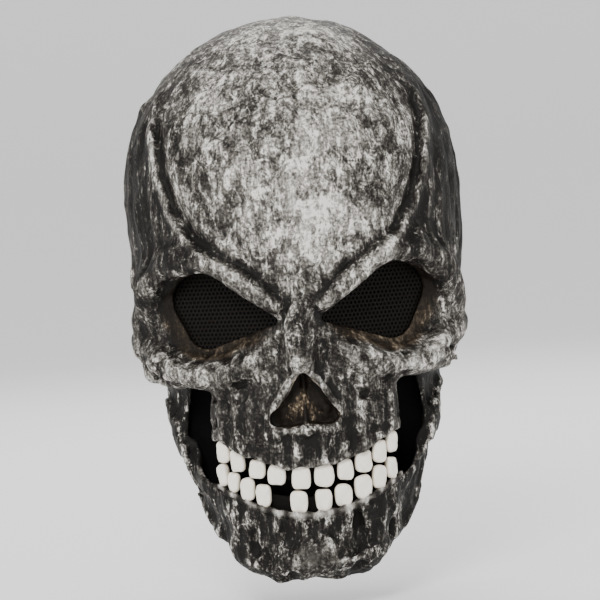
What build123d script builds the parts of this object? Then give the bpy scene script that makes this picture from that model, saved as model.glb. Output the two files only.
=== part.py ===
"""Latex skull mask with a moving jaw, an open back and an adjustable elastic harness.

Millimetres. +Z is up, the face looks along -Y and +X is to the right of someone facing the mask.
The origin is the centre of the wearer's head, on the axis that the head form and the side straps share.
"""

from build123d import *
from math import asin, cos, degrees, radians, sin
import os

# ---------------------------------------------------------------- driving dimensions
LATEX = 2.5  # wall of the cast latex
GLUE = 0.3  # glue line between a piece and what it is stuck to

DOME_Z = 50  # height of the centre of the spherical cranium
HALF_WIDTH = 100  # its radius, so the crown is at Z 150
TEMPLE_Z = -4  # the sides are straight from the dome down to here
CHEEK = (97, -38)  # radius and height where the cheekbones start to turn in
RIM = (88, -66)  # radius and height of the cheekbones' lower edge

BACK_TOP = (60, 126)  # Y and Z of the shell's back edge at the crown
BACK_LOW = (38, -66)  # Y and Z of the same edge at the cheekbones' level

# The openings are hulls of circles, each with its X, Z and radius.
EYE_CIRCLES = [(15, -28.5, 2.5), (59, -15, 16.5), (51, -33, 13.5)]
NOSE_CIRCLES = [(0, -60.5, 2.5), (-13.5, -84, 6.5), (13.5, -84, 6.5)]

ARCH_Y = -58  # centre of the dental arches
ARCH_END = 54.5  # the arches stop at this distance from the middle
MAXILLA = (64, 42)  # half width and depth of the upper jaw wall's ellipse
UPPER_FRONT = (62, 40)  # half width and depth of the upper teeth's front faces
LOWER_FRONT = (61, 39)  # the same for the lower teeth
TOOTH_DEPTH = 5
TOOTH_CORNER = 3.2
SMILE_REACH, SMILE_RISE = 50, 16  # the tooth rows rise this much at this distance from the middle
UPPER_ROW_Z, LOWER_ROW_Z = -118.6, -133.2  # middle of each row at X 0
GUM_WALL = 3.4

# Each tooth is the X of its middle, its width as seen from the front and its height.
# The rows are uneven on purpose, and the lower row has an empty place at X -17.
UPPER_TEETH = [
    (-49.9, 7.2, 13.2),
    (-41.6, 8.2, 14.2),
    (-30.2, 9.8, 11.4),
    (-19.0, 11.0, 12.6),
    (-4.8, 11.6, 14.4),
    (8.6, 12.2, 13.8),
    (21.2, 9.8, 12.8),
    (32.2, 10.2, 13.4),
    (42.0, 8.2, 13.4),
    (49.8, 6.2, 12.6),
]
LOWER_TEETH = [
    (-51.0, 5.6, 13.4),
    (-44.6, 6.2, 11.6),
    (-36.6, 8.4, 13.8),
    (-27.4, 9.0, 13.4),
    (-6.9, 10.8, 13.2),
    (7.6, 10.2, 13.6),
    (19.3, 10.6, 13.4),
    (31.2, 10.6, 14.0),
    (41.2, 8.0, 13.6),
    (48.8, 5.8, 12.6),
]

# Jaw form: height, half width, depth and Y of the centre of each ellipse.
JAW_SECTIONS = [
    (-178, 34, 28, -60),
    (-168, 44, 40, -57),
    (-150, 54.5, 50, -48),
    (-138, 61, 53, -45),
    (-120, 69, 60, -37),
    (-95, 79, 78, -14),
    (-68, 83, 83, 0),
    (-45, 88.5, 88.5, 0),
    (-18, 90.5, 90.5, 0),
]
PIVOT_Y, PIVOT_Z = 5, -38  # the jaw's hinge line, just in front of the ears
PIVOT_R = 2.5
PIVOT_PLAY = 0.06

MESH_THICK = 0.8
RETAINER_THICK = 1.6
SOCKET_RIM = 3.5
MESH_INNER = (13, -92)  # X and Y of the mesh panel's plane at the nose side
MESH_OUTER = (76, -52)  # and at the temple side

STRAP_WIDTH, STRAP_THICK = 25, 1.0
STRAP_R = 94.3  # radius of the side straps round the head's axis and of the crown strap round the dome's
SIDE_EDGE, CROWN_EDGE = 28.5, 37  # where each strap passes the shell's edge, in degrees
RETURN_LIFT = 4.5  # distance between a strap's two layers
SLIDER_STEP = 22  # a slider rests this many degrees behind the shell's edge
SIDE_END, CROWN_END = 84, 98  # where the straps stop on the rear pad, in degrees
RIVET_R, RIVET_HEAD_R, RIVET_HEAD = 2.0, 4.5, 1.6

RIGHT = Plane.XY
LEFT = Plane(origin=(0, 0, 0), x_dir=(-1, 0, 0), z_dir=(0, 0, -1))
CROWN = Plane(origin=(0, 0, DOME_Z), x_dir=(0, 0, 1), z_dir=(-1, 0, 0))
FAR = 150  # longer than anything that is cut

os.makedirs("parts", exist_ok=True)


def save(part, name):
    """Labels one finished piece and writes it."""
    part.label = name
    export_step(part, f"parts/{name}.step")


# ---------------------------------------------------------------- forms
def head_form(inset):
    """The head's outer form, taken in by inset."""
    with BuildPart() as form:
        with BuildSketch(Plane.YZ):
            with BuildLine():
                wide = (HALF_WIDTH - inset, DOME_Z)
                temple = (HALF_WIDTH - inset, TEMPLE_Z)
                low = (RIM[0] - inset, RIM[1] - inset)
                top = (0, DOME_Z + HALF_WIDTH - inset)
                CenterArc((0, DOME_Z), HALF_WIDTH - inset, 0, 90)
                Line(wide, temple)
                Spline(temple, (CHEEK[0] - inset, CHEEK[1]), low, tangents=((0, -1), (-0.55, -1)))
                Polyline(low, (0, low[1]), top)
            make_face()
        revolve(axis=Axis.Z)
    return form.part


def jaw_form(inset, floor):
    """The mandible's outer form taken in by inset, with its underside raised by floor."""
    with BuildPart() as form:
        for index, (height, half_width, depth, centre) in enumerate(JAW_SECTIONS):
            lift = floor if index == 0 else 0
            with BuildSketch(Plane.XY.offset(height + lift)):
                with Locations((0, centre)):
                    Ellipse(half_width - inset, depth - inset)
        loft(ruled=True)
    return form.part


def arch_sketch(height, outer, wall, end):
    """The front of an elliptical ring at a height, cut off at a distance from the middle."""
    with BuildSketch(Plane.XY.offset(height)) as arch:
        with Locations((0, ARCH_Y)):
            Ellipse(outer[0], outer[1])
            Ellipse(outer[0] - wall, outer[1] - wall, mode=Mode.SUBTRACT)
        with Locations((0, ARCH_Y - FAR / 2)):
            Rectangle(2 * end, FAR, mode=Mode.INTERSECT)
    return arch.sketch


def smile_band(top, low):
    """The front between two arcs that rise to the sides as the tooth rows do."""
    side = ARCH_END + 2
    rise = SMILE_RISE * (side / SMILE_REACH) ** 2
    with BuildPart() as band:
        with BuildSketch(Plane.XZ):
            with BuildLine():
                ThreePointArc((-side, top + rise), (0, top), (side, top + rise))
                Line((side, top + rise), (side, low + rise))
                ThreePointArc((side, low + rise), (0, low), (-side, low + rise))
                Line((-side, low + rise), (-side, top + rise))
            make_face()
        extrude(amount=FAR)
    return band.part


def back_cut():
    """Everything behind the slanted plane of the shell's open back."""
    slant = Plane(
        origin=(0, BACK_TOP[0], BACK_TOP[1]),
        x_dir=(1, 0, 0),
        z_dir=(0, BACK_TOP[1] - BACK_LOW[1], BACK_LOW[0] - BACK_TOP[0]),
    )
    with BuildPart() as cutter:
        with BuildSketch(slant):
            Rectangle(4 * FAR, 4 * FAR)
        extrude(amount=FAR)
    return cutter.part


def hull_prism(circles, start, depth):
    """The convex hull of some circles on the XZ plane, from a depth forwards."""
    with BuildPart() as prism:
        with BuildSketch(Plane.XZ.offset(start)):
            for x, z, size in circles:
                with Locations((x, z)):
                    Circle(size)
            make_hull()
        extrude(amount=depth)
    return prism.part


def eye_prism(grow, side, start):
    """The slanted teardrop of an eye opening, made larger by grow, from a depth to the front."""
    return hull_prism([(side * x, z, size + grow) for x, z, size in EYE_CIRCLES], start, FAR)


def nose_prism(grow, start, depth):
    """The pear-shaped nasal opening, made larger by grow, from a depth forwards."""
    return hull_prism([(x, z, size + grow) for x, z, size in NOSE_CIRCLES], start, depth)


def mesh_plane(side, back):
    """The plane of an eye's mesh panel, moved back towards the wearer, with its normal to the front."""
    across = MESH_OUTER[0] - MESH_INNER[0]
    deep = MESH_OUTER[1] - MESH_INNER[1]
    return Plane(
        origin=(side * MESH_INNER[0], MESH_INNER[1], 0),
        x_dir=(across, side * deep, 0),
        z_dir=(side * deep, -across, 0),
    ).offset(-back)


def slab(side, back, thickness):
    """A slab parallel to the mesh panel, its front face back behind the panel's own."""
    with BuildPart() as block:
        with BuildSketch(mesh_plane(side, back)):
            Rectangle(2 * FAR, 2 * FAR)
        extrude(amount=-thickness)
    return block.part


# ---------------------------------------------------------------- skull shell
HEAD = head_form(0)
CAVITY = head_form(LATEX)
BACK = back_cut()
NOSE_FLOOR = 90.5

with BuildPart() as upper_jaw_wall:
    add(arch_sketch(-39, (MAXILLA[0] - 8, MAXILLA[1] - 8), LATEX, ARCH_END - 6))
    add(arch_sketch(-80, MAXILLA, LATEX, ARCH_END))
    loft()
    extrude(arch_sketch(-80, MAXILLA, LATEX, ARCH_END), amount=-34)
    add(smile_band(UPPER_ROW_Z + 9, UPPER_ROW_Z - 40), mode=Mode.SUBTRACT)

sockets = []
for side in (-1, 1):
    with BuildPart() as socket:
        add(eye_prism(SOCKET_RIM, side, 0))
        add(slab(side, 0, FAR), mode=Mode.SUBTRACT)
        add(HEAD, mode=Mode.INTERSECT)
    sockets.append(socket.part)

with BuildPart() as skull_shell:
    add(HEAD)
    add(CAVITY, mode=Mode.SUBTRACT)
    add(sockets)
    add(upper_jaw_wall.part)
    add(nose_prism(LATEX, NOSE_FLOOR - LATEX, LATEX + 6))
    for side in (-1, 1):
        add(eye_prism(0, side, 40), mode=Mode.SUBTRACT)
    add(nose_prism(0, NOSE_FLOOR, FAR), mode=Mode.SUBTRACT)
    with BuildSketch(Plane.XZ.offset(NOSE_FLOOR - 2 * LATEX)):
        with Locations((-8, -82), (8, -82)):
            Ellipse(4, 5)
    extrude(amount=FAR, mode=Mode.SUBTRACT)
    add(BACK, mode=Mode.SUBTRACT)
    with Locations(Location((0, PIVOT_Y, PIVOT_Z), (0, 90, 0))):
        Cylinder(PIVOT_R + PIVOT_PLAY, 4 * FAR, mode=Mode.SUBTRACT)


# ---------------------------------------------------------------- harness
def polar(radius, angle):
    """A point of a strap's own plane."""
    return (radius * cos(radians(angle)), radius * sin(radians(angle)))


def arc_band(plane, inner, outer, start, stop):
    """A stretch of ring between two radii and two angles."""
    with BuildSketch(plane) as band:
        with BuildLine():
            CenterArc((0, 0), inner, start, stop - start)
            Line(polar(inner, stop), polar(outer, stop))
            CenterArc((0, 0), outer, start, stop - start)
            Line(polar(outer, start), polar(inner, start))
        make_face()
    return band.sketch


def along_degrees(length, radius):
    """The angle that a length covers on a circle."""
    return degrees(length / radius)


def strap_tab(plane, radius, edge):
    """The short webbing loop that holds the ring, with the hole for its rivet."""
    bar = edge + 5.5
    with BuildPart() as tab:
        near, far = radius - STRAP_THICK / 2, radius + STRAP_THICK / 2
        extrude(arc_band(plane, near, far, edge - 13, bar - 1.2), amount=STRAP_WIDTH / 2, both=True)
        with BuildSketch(plane):
            with Locations(polar(radius, bar)):
                Circle(1.9 + STRAP_THICK)
        extrude(amount=STRAP_WIDTH / 2, both=True)
        with BuildSketch(plane):
            with Locations(polar(radius, bar)):
                Circle(1.9)
        extrude(amount=STRAP_WIDTH, both=True, mode=Mode.SUBTRACT)
        add(radial_pin(plane, radius, edge - 7, RIVET_R + 0.2, 20), mode=Mode.SUBTRACT)
    return tab.part


def radial_plane(plane, radius, angle):
    """The plane that faces outwards at a point of a strap."""
    out = plane.from_local_coords(Vector(*polar(radius + 1, angle), 0))
    here = plane.from_local_coords(Vector(*polar(radius, angle), 0))
    return Plane(origin=here, x_dir=plane.z_dir, z_dir=out - here)


def radial_pin(plane, radius, angle, pin_radius, length):
    """A cylinder that points outwards, centred on a point of a strap."""
    with BuildPart() as pin:
        with BuildSketch(radial_plane(plane, radius, angle).offset(-length / 2)):
            Circle(pin_radius)
        extrude(amount=length)
    return pin.part


def strap_ring(plane, radius, edge):
    """The rectangular wire ring between a tab and its strap."""
    front = plane.from_local_coords(Vector(*polar(radius, edge + 5.5), 0))
    rear = plane.from_local_coords(Vector(*polar(radius + RETURN_LIFT / 2, edge + 11.5), 0))
    span = rear - front
    flat = Plane(origin=(front + rear) / 2, x_dir=span, z_dir=span.cross(plane.z_dir))
    with BuildSketch(flat) as outline:
        RectangleRounded(span.length, STRAP_WIDTH + 5, 2.2)
    path = outline.sketch.faces()[0].outer_wire()
    with BuildPart() as ring:
        with BuildSketch(Plane(origin=path @ 0, z_dir=path % 0)):
            Circle(1.3)
        sweep(path=path)
    return ring.part


def elastic_strap(plane, radius, edge, stop):
    """An elastic strap: round the ring's bar, its outer layer to the slider and its inner one to the pad."""
    bar = edge + 11.5
    slider = edge + SLIDER_STEP
    centre = radius + RETURN_LIFT / 2
    outer = radius + RETURN_LIFT
    half = STRAP_THICK / 2
    gap = along_degrees(RETURN_LIFT, radius)
    with BuildPart() as strap:
        with BuildSketch(plane):
            with Locations(polar(centre, bar)):
                Circle(RETURN_LIFT / 2 + half)
                Circle(RETURN_LIFT / 2 - half, mode=Mode.SUBTRACT)
        extrude(amount=STRAP_WIDTH / 2, both=True)
        opened = arc_band(plane, radius + half, outer - half, bar, bar + gap)
        extrude(opened, amount=STRAP_WIDTH, both=True, mode=Mode.SUBTRACT)
        extrude(arc_band(plane, radius - half, radius + half, bar, stop), amount=STRAP_WIDTH / 2, both=True)
        returned = arc_band(plane, outer - half, outer + half, bar, slider - 1.6)
        extrude(returned, amount=STRAP_WIDTH / 2, both=True)
    return strap.part


def strap_slider(plane, radius, edge):
    """A three-bar slider: two bars inside the strap and one outside it, joined by a rail at each edge."""
    centre = edge + SLIDER_STEP
    half = along_degrees(8, radius)
    step = half - along_degrees(1.4, radius)
    inner, outer = radius - 2.75, radius + 3.85
    rail, slot = STRAP_WIDTH / 2 + 3.4, STRAP_WIDTH / 2 + 0.7
    with BuildPart() as slider:
        extrude(arc_band(plane, inner, outer, centre - half, centre + half), amount=rail, both=True)
        hollow = arc_band(plane, inner - 5, outer + 5, centre - 2 * half, centre + 2 * half)
        extrude(hollow, amount=slot, both=True, mode=Mode.SUBTRACT)
        with BuildSketch(plane):
            for angle, across, bar_radius in (
                (centre - step, 2.6, radius - 1.75),
                (centre, 4.0, radius + 2.85),
                (centre + step, 2.6, radius - 1.75),
            ):
                x, y = polar(bar_radius, angle)
                with Locations(Location((x, y, 0), (0, 0, angle))):
                    RectangleRounded(2.0, across, 0.8)
        extrude(amount=slot + 0.2, both=True)
    return slider.part


def strap_rivet(plane, radius, angle, outside):
    """A tubular rivet through the shell and a tab: a head outside, a post and a rolled head inside."""
    head_z = outside - radius + GLUE
    tail_z = -STRAP_THICK / 2 - 1.3
    with BuildPart() as rivet:
        with BuildSketch(radial_plane(plane, radius, angle).offset(tail_z)):
            Circle(RIVET_R)
        extrude(amount=head_z - tail_z)
        with BuildSketch(radial_plane(plane, radius, angle).offset(head_z)):
            Circle(RIVET_HEAD_R)
        extrude(amount=RIVET_HEAD)
        fillet(rivet.edges().filter_by(GeomType.CIRCLE).sort_by(Axis(rivet.part.center(),
               radial_plane(plane, radius, angle).z_dir))[-1], 1.2)
        with BuildSketch(radial_plane(plane, radius, angle).offset(tail_z - 1)):
            Circle(RIVET_R + 1.4)
        extrude(amount=1)
    return rivet.part


def strap_washer(plane, radius, angle):
    """The washer between a tab and its rivet's rolled head."""
    with BuildPart() as washer:
        with BuildSketch(radial_plane(plane, radius, angle).offset(-STRAP_THICK / 2 - 1.15)):
            Circle(RIVET_R + 3)
            Circle(RIVET_R + 0.2, mode=Mode.SUBTRACT)
        extrude(amount=0.8)
    return washer.part


# Each strap's plane, radius, shell edge and end, with the shell's outer radius under its rivet.
HARNESS = {
    "left": (LEFT, STRAP_R, SIDE_EDGE, SIDE_END, HALF_WIDTH),
    "right": (RIGHT, STRAP_R, SIDE_EDGE, SIDE_END, HALF_WIDTH),
    "crown": (CROWN, STRAP_R, CROWN_EDGE, CROWN_END, HALF_WIDTH),
}

rivets, washers = [], []
with BuildPart() as drilled_shell:
    add(skull_shell.part)
    for plane, radius, edge, _, _ in HARNESS.values():
        add(radial_pin(plane, radius, edge - 7, RIVET_R + 0.2, 30), mode=Mode.SUBTRACT)
save(drilled_shell.part, "skull_shell")

for name, (plane, radius, edge, stop, outside) in HARNESS.items():
    save(strap_tab(plane, radius, edge), f"strap_tab_{name}")
    save(strap_ring(plane, radius, edge), f"strap_ring_{name}")
    save(elastic_strap(plane, radius, edge, stop), f"{name}_strap")
    save(strap_slider(plane, radius, edge), f"slider_{name}")
    rivets.append(strap_rivet(plane, radius, edge - 7, outside))
    washers.append(strap_washer(plane, radius, edge - 7))
save(Compound(children=rivets), "strap_rivets")
save(Compound(children=washers), "strap_washers")

with BuildPart() as rear_pad:
    pad_outside = STRAP_R - STRAP_THICK / 2 - GLUE
    extrude(arc_band(Plane.XY.offset(-20), pad_outside - 4.5, pad_outside, 77.5, 102.5), amount=36)
    extrude(arc_band(Plane.XY.offset(-20), pad_outside - 4.5, pad_outside - 1.2, 77.5, 102.5), amount=64)
save(rear_pad.part, "rear_pad")


# ---------------------------------------------------------------- eyes
for side, name in ((-1, "left"), (1, "right")):
    with BuildPart() as eye_mesh:
        add(eye_prism(SOCKET_RIM - 0.5, side, 0))
        add(slab(side, GLUE, MESH_THICK), mode=Mode.INTERSECT)
    save(eye_mesh.part, f"eye_mesh_{name}")

    with BuildPart() as retainer:
        add(eye_prism(SOCKET_RIM - 0.5, side, 0))
        add(slab(side, 2 * GLUE + MESH_THICK, RETAINER_THICK), mode=Mode.INTERSECT)
        add(eye_prism(0, side, 0), mode=Mode.SUBTRACT)
    save(retainer.part, f"mesh_retainer_{name}")


# ---------------------------------------------------------------- teeth and gums
def smile(x):
    """How far the tooth rows have risen at a distance from the middle."""
    return SMILE_RISE * (x / SMILE_REACH) ** 2


def tooth(x, seen_width, height, front, row_z):
    """One cast tooth: rounded at the front and tapered to its back, square to the dental arch."""
    turn = asin(x / front[0])
    along = Vector(front[0] * cos(turn), front[1] * sin(turn), 0)
    outwards = Vector(front[1] * sin(turn), -front[0] * cos(turn), 0)
    width = seen_width * along.length / along.X
    place = (x, ARCH_Y - front[1] * cos(turn), row_z + smile(x))
    with BuildPart() as crown:
        with BuildSketch(Plane(origin=place, x_dir=along, z_dir=outwards)):
            RectangleRounded(width, height, min(TOOTH_CORNER, 0.42 * width))
        extrude(amount=-TOOTH_DEPTH, taper=8)
        fillet(crown.faces().sort_by(Axis((0, 0, 0), outwards))[-1].edges(), 1.4)
    return crown.part


for row, teeth, front, row_z in (
    ("upper", UPPER_TEETH, UPPER_FRONT, UPPER_ROW_Z),
    ("lower", LOWER_TEETH, LOWER_FRONT, LOWER_ROW_Z),
):
    for number, (x, width, height) in enumerate(teeth, 1):
        save(tooth(x, width, height, front, row_z), f"{row}_tooth_{number:02d}")


def gum_layer(outer, inner, top, low):
    """An arch wall between two ellipses, trimmed to the rise of the tooth rows."""
    with BuildPart() as layer:
        extrude(arch_sketch(-170, outer, outer[0] - inner[0], ARCH_END - LATEX - GLUE), amount=90)
        add(smile_band(top, low), mode=Mode.INTERSECT)
    return layer.part


def gum_strip(behind_teeth, flange, top, low, flange_top, flange_low):
    """The black strip that a row of teeth stands on, with a thicker flange glued inside the latex."""
    inner = (behind_teeth[0] - GUM_WALL, behind_teeth[1] - GUM_WALL)
    with BuildPart() as strip:
        add(gum_layer(behind_teeth, inner, top, low))
        add(gum_layer(flange, inner, flange_top, flange_low))
    return strip.part


UPPER_GUM = (UPPER_FRONT[0] - TOOTH_DEPTH - 0.9, UPPER_FRONT[1] - TOOTH_DEPTH - 0.9)
LOWER_GUM = (LOWER_FRONT[0] - TOOTH_DEPTH - 0.9, LOWER_FRONT[1] - TOOTH_DEPTH - 0.9)
UPPER_FLANGE = (MAXILLA[0] - LATEX - GLUE, MAXILLA[1] - LATEX - GLUE)
LOWER_FLANGE = (LOWER_GUM[0] + 2, LOWER_GUM[1] + 2)
save(gum_strip(UPPER_GUM, UPPER_FLANGE, -96, UPPER_ROW_Z - 2.5, -96, UPPER_ROW_Z + 10), "upper_gum_strip")
with BuildPart() as lower_gum_strip:
    add(gum_strip(LOWER_GUM, LOWER_FLANGE, LOWER_ROW_Z + 2.5, -153, -144, -153))
    add(jaw_form(LATEX + GLUE, 4), mode=Mode.INTERSECT)
save(lower_gum_strip.part, "lower_gum_strip")


# ---------------------------------------------------------------- jaw
with BuildPart() as jaw_shell:
    add(jaw_form(0, 0))
    add(jaw_form(LATEX, 4), mode=Mode.SUBTRACT)
    with BuildSketch(Plane.YZ):
        with BuildLine():
            Polyline(
                (-112, -190),
                (-112, -151.5),
                (-62, -117.5),
                (-46, -94),
                (-48, -60),
                (-36, -30),
                (6, -20),
                (22, -32),
                (20, -66),
                (13, -112),
                (-14, -140),
                (-46, -172),
                (-52, -190),
                close=True,
            )
        make_face()
    extrude(amount=FAR, both=True, mode=Mode.INTERSECT)
    with Locations(Location((0, PIVOT_Y, PIVOT_Z), (0, 90, 0))):
        Cylinder(PIVOT_R + PIVOT_PLAY, 4 * FAR, mode=Mode.SUBTRACT)
save(jaw_shell.part, "jaw_shell")

# A rivet at each ear carries the jaw: a head outside the shell and a rolled head inside the ramus.
PIVOT_OUTSIDE = 98.1
RAMUS_OUT, RAMUS_IN = 90.0, 86.6
for side, name in ((-1, "left"), (1, "right")):
    outwards = Plane(origin=(0, PIVOT_Y, PIVOT_Z), x_dir=(0, 0, 1), z_dir=(side, 0, 0))
    with BuildPart() as pivot:
        with BuildSketch(outwards.offset(RAMUS_IN - 2.3)):
            Circle(PIVOT_R)
        extrude(amount=PIVOT_OUTSIDE - RAMUS_IN + 2.3)
        with BuildSketch(outwards.offset(PIVOT_OUTSIDE)):
            Circle(6)
        extrude(amount=1.7)
        fillet(pivot.edges().filter_by(GeomType.CIRCLE).sort_by(Axis((0, 0, 0), (side, 0, 0)))[-1], 1.2)
        with BuildSketch(outwards.offset(RAMUS_IN - 3.5)):
            Circle(PIVOT_R + 1.6)
        extrude(amount=1.2)
    save(pivot.part, f"jaw_pivot_{name}")
    with BuildPart() as spacer:
        with BuildSketch(outwards.offset(RAMUS_OUT + 0.4)):
            Circle(5)
            Circle(PIVOT_R + 0.1, mode=Mode.SUBTRACT)
        extrude(amount=2.2)
    save(spacer.part, f"pivot_spacer_{name}")
    with BuildPart() as washer:
        with BuildSketch(outwards.offset(RAMUS_IN - 2.0)):
            Circle(5)
            Circle(PIVOT_R + 0.1, mode=Mode.SUBTRACT)
        extrude(amount=0.9)
    save(washer.part, f"pivot_washer_{name}")


# ---------------------------------------------------------------- foam and cloth
def dome_pad(thickness, plane, width, height, corner):
    """A foam pad of even thickness that lies against the inside of the head form."""
    with BuildPart() as pad:
        with BuildSketch(plane):
            RectangleRounded(width, height, corner)
        extrude(amount=FAR)
        add(head_form(LATEX + GLUE), mode=Mode.INTERSECT)
        add(head_form(LATEX + GLUE + thickness), mode=Mode.SUBTRACT)
    return pad.part


save(dome_pad(12, Plane(origin=(0, 0, 56), x_dir=(1, 0, 0), z_dir=(0, -1, 0)), 96, 40, 12), "forehead_pad")
for side, name in ((-1, "left"), (1, "right")):
    temple = Plane(origin=(0, -14, 40), x_dir=(0, 1, 0), z_dir=(side, 0, 0))
    save(dome_pad(10, temple, 36, 46, 11), f"temple_pad_{name}")

with BuildPart() as chin_pad:
    with BuildSketch(Plane.XY.offset(-173)):
        with Locations((0, -78)):
            RectangleRounded(50, 34, 10)
    extrude(amount=18)
    add(jaw_form(LATEX + GLUE, 4 + GLUE), mode=Mode.INTERSECT)
save(chin_pad.part, "chin_pad")

# The black stretch cloth behind the mouth and the cheek gaps: an arch with a wing to each ramus.
with BuildPart() as mouth_cloth:
    with BuildSketch(Plane.XY.offset(-150)):
        with BuildLine() as cloth_line:
            right_wing = Line((84, -34), (46, -46))
            arch = ThreePointArc((46, -46), (0, -85), (-46, -46))
            left_wing = Line((-46, -46), (-84, -34))
        trace(line_width=1.0)
    extrude(amount=84)
    add(jaw_form(LATEX + 1, 4 + GLUE), mode=Mode.INTERSECT)
save(mouth_cloth.part, "mouth_cloth")
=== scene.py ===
import math
from functools import partial

import bpy
import numpy as np
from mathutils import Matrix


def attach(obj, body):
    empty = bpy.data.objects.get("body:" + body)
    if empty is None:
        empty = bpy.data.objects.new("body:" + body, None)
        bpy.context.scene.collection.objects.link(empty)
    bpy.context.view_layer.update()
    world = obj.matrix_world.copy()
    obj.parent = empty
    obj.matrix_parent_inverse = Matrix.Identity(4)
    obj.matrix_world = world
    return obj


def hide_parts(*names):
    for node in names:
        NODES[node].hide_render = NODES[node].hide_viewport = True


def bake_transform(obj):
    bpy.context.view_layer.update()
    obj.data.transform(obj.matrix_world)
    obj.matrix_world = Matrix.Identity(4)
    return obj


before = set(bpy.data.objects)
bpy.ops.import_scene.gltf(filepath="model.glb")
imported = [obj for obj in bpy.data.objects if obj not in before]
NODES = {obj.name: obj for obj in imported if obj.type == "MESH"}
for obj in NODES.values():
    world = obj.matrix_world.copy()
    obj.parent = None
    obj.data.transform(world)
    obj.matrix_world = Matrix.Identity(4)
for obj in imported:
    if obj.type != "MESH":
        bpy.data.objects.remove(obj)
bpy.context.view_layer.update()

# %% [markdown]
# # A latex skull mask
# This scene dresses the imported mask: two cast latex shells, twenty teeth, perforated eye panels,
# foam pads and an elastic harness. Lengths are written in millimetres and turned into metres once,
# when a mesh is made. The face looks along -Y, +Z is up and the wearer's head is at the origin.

import openvdb
from mathutils import Matrix, Vector

SEED = 20
STEP_SKULL = 1.25
STEP_JAW = 1.15

# The same driving sizes as the part's.
DOME_Z, HALF_WIDTH, ARCH_Y = 50.0, 100.0, -58.0
UPPER_FRONT, LOWER_FRONT = (62.0, 40.0), (61.0, 39.0)
SMILE_REACH, SMILE_RISE = 50.0, 16.0
UPPER_ROW_Z, LOWER_ROW_Z = -118.6, -133.2
STRAP_R, STRAP_WIDTH, RETURN_LIFT = 94.3, 25.0, 4.5
PIVOT_Y, PIVOT_Z, PIVOT_HOLE = 5, -38, 2.7
NOSE_BACK, JAW_BOTTOM, STRAP_RIVET_BACK = -92.0, -178.5, 7
# Wall thicknesses: under the plain head form, under the sculpt, and of the jaw in the same order.
HEAD_WALL, SCULPT_WALL, JAW_WALL, JAW_SCULPT_WALL = 2.6, 2.4, 2.5, 2.2
MESH_INNER, MESH_OUTER = (13.0, -92.0), (76.0, -52.0)
EYE_CIRCLES = [(15, -28.5, 2.5), (59, -15, 16.5), (51, -33, 13.5)]
NOSE_CIRCLES = [(0, -60.5, 2.5), (-13.5, -84, 6.5), (13.5, -84, 6.5)]
UPPER_TEETH = [
    (-49.9, 7.2, 13.2), (-41.6, 8.2, 14.2), (-30.2, 9.8, 11.4), (-19.0, 11.0, 12.6), (-4.8, 11.6, 14.4),
    (8.6, 12.2, 13.8), (21.2, 9.8, 12.8), (32.2, 10.2, 13.4), (42.0, 8.2, 13.4), (49.8, 6.2, 12.6),
]
LOWER_TEETH = [
    (-51.0, 5.6, 13.4), (-44.6, 6.2, 11.6), (-36.6, 8.4, 13.8), (-27.4, 9.0, 13.4), (-6.9, 10.8, 13.2),
    (7.6, 10.2, 13.6), (19.3, 10.6, 13.4), (31.2, 10.6, 14.0), (41.2, 8.0, 13.6), (48.8, 5.8, 12.6),
]

# %% [markdown]
# ## Shared shading groups
# Effects that several materials use are node groups with named inputs. They give colours, masks,
# values and normals only, so each material keeps its own surface shader.

# %% Node helpers


def new_group(name, inputs, outputs):
    """A shader node group with its sockets, and its input and output nodes."""
    tree = bpy.data.node_groups.new(name, "ShaderNodeTree")
    for label, kind, value in inputs:
        made = tree.interface.new_socket(name=label, in_out="INPUT", socket_type=kind)
        if value is not None:
            made.default_value = value
    for label, kind in outputs:
        tree.interface.new_socket(name=label, in_out="OUTPUT", socket_type=kind)
    return tree, tree.nodes.new("NodeGroupInput"), tree.nodes.new("NodeGroupOutput")


def wire(tree, target, value):
    """Links an output to a socket, or sets the socket's own value."""
    if isinstance(value, bpy.types.NodeSocket):
        tree.links.new(value, target)
    else:
        target.default_value = value


def math_node(tree, kind, a, b=0.0, c=0.0, clamp=False):
    node = tree.nodes.new("ShaderNodeMath")
    node.operation, node.use_clamp = kind, clamp
    for place, value in enumerate((a, b, c)):
        wire(tree, node.inputs[place], value)
    return node.outputs[0]


def mix_color(tree, kind, factor, a, b):
    node = tree.nodes.new("ShaderNodeMix")
    node.data_type, node.blend_type = "RGBA", kind
    wire(tree, node.inputs["Factor"], factor)
    wire(tree, node.inputs[6], a)
    wire(tree, node.inputs[7], b)
    return node.outputs[2]


def scaled(tree, vector, scale):
    node = tree.nodes.new("ShaderNodeVectorMath")
    node.operation = "MULTIPLY"
    wire(tree, node.inputs[0], vector)
    node.inputs[1].default_value = scale
    return node.outputs[0]


def noise_node(tree, vector, scale, detail=5.0, rough=0.6, distort=0.0):
    node = tree.nodes.new("ShaderNodeTexNoise")
    settings = {"Vector": vector, "Scale": scale, "Detail": detail, "Roughness": rough, "Distortion": distort}
    for label, value in settings.items():
        wire(tree, node.inputs[label], value)
    return node.outputs["Fac"]


def coordinates(tree, kind="Object"):
    return tree.nodes.new("ShaderNodeTexCoord").outputs[kind]


def ramp_node(tree, value, stops):
    node = tree.nodes.new("ShaderNodeValToRGB")
    while len(node.color_ramp.elements) < len(stops):
        node.color_ramp.elements.new(0.5)
    for element, (at, color) in zip(node.color_ramp.elements, stops):
        element.position, element.color = at, (*color, 1)
    wire(tree, node.inputs[0], value)
    return node.outputs[0]


def attribute(tree, name):
    node = tree.nodes.new("ShaderNodeAttribute")
    node.attribute_name = name
    return node.outputs["Fac"]


# %% [markdown]
# **Worn paint.** Light paint dragged over dark latex stays on the high spots. The group adds noise
# at several sizes, fine lines and the cast's own relief to a base tone, and a ramp turns the sum
# into paint.

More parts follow.
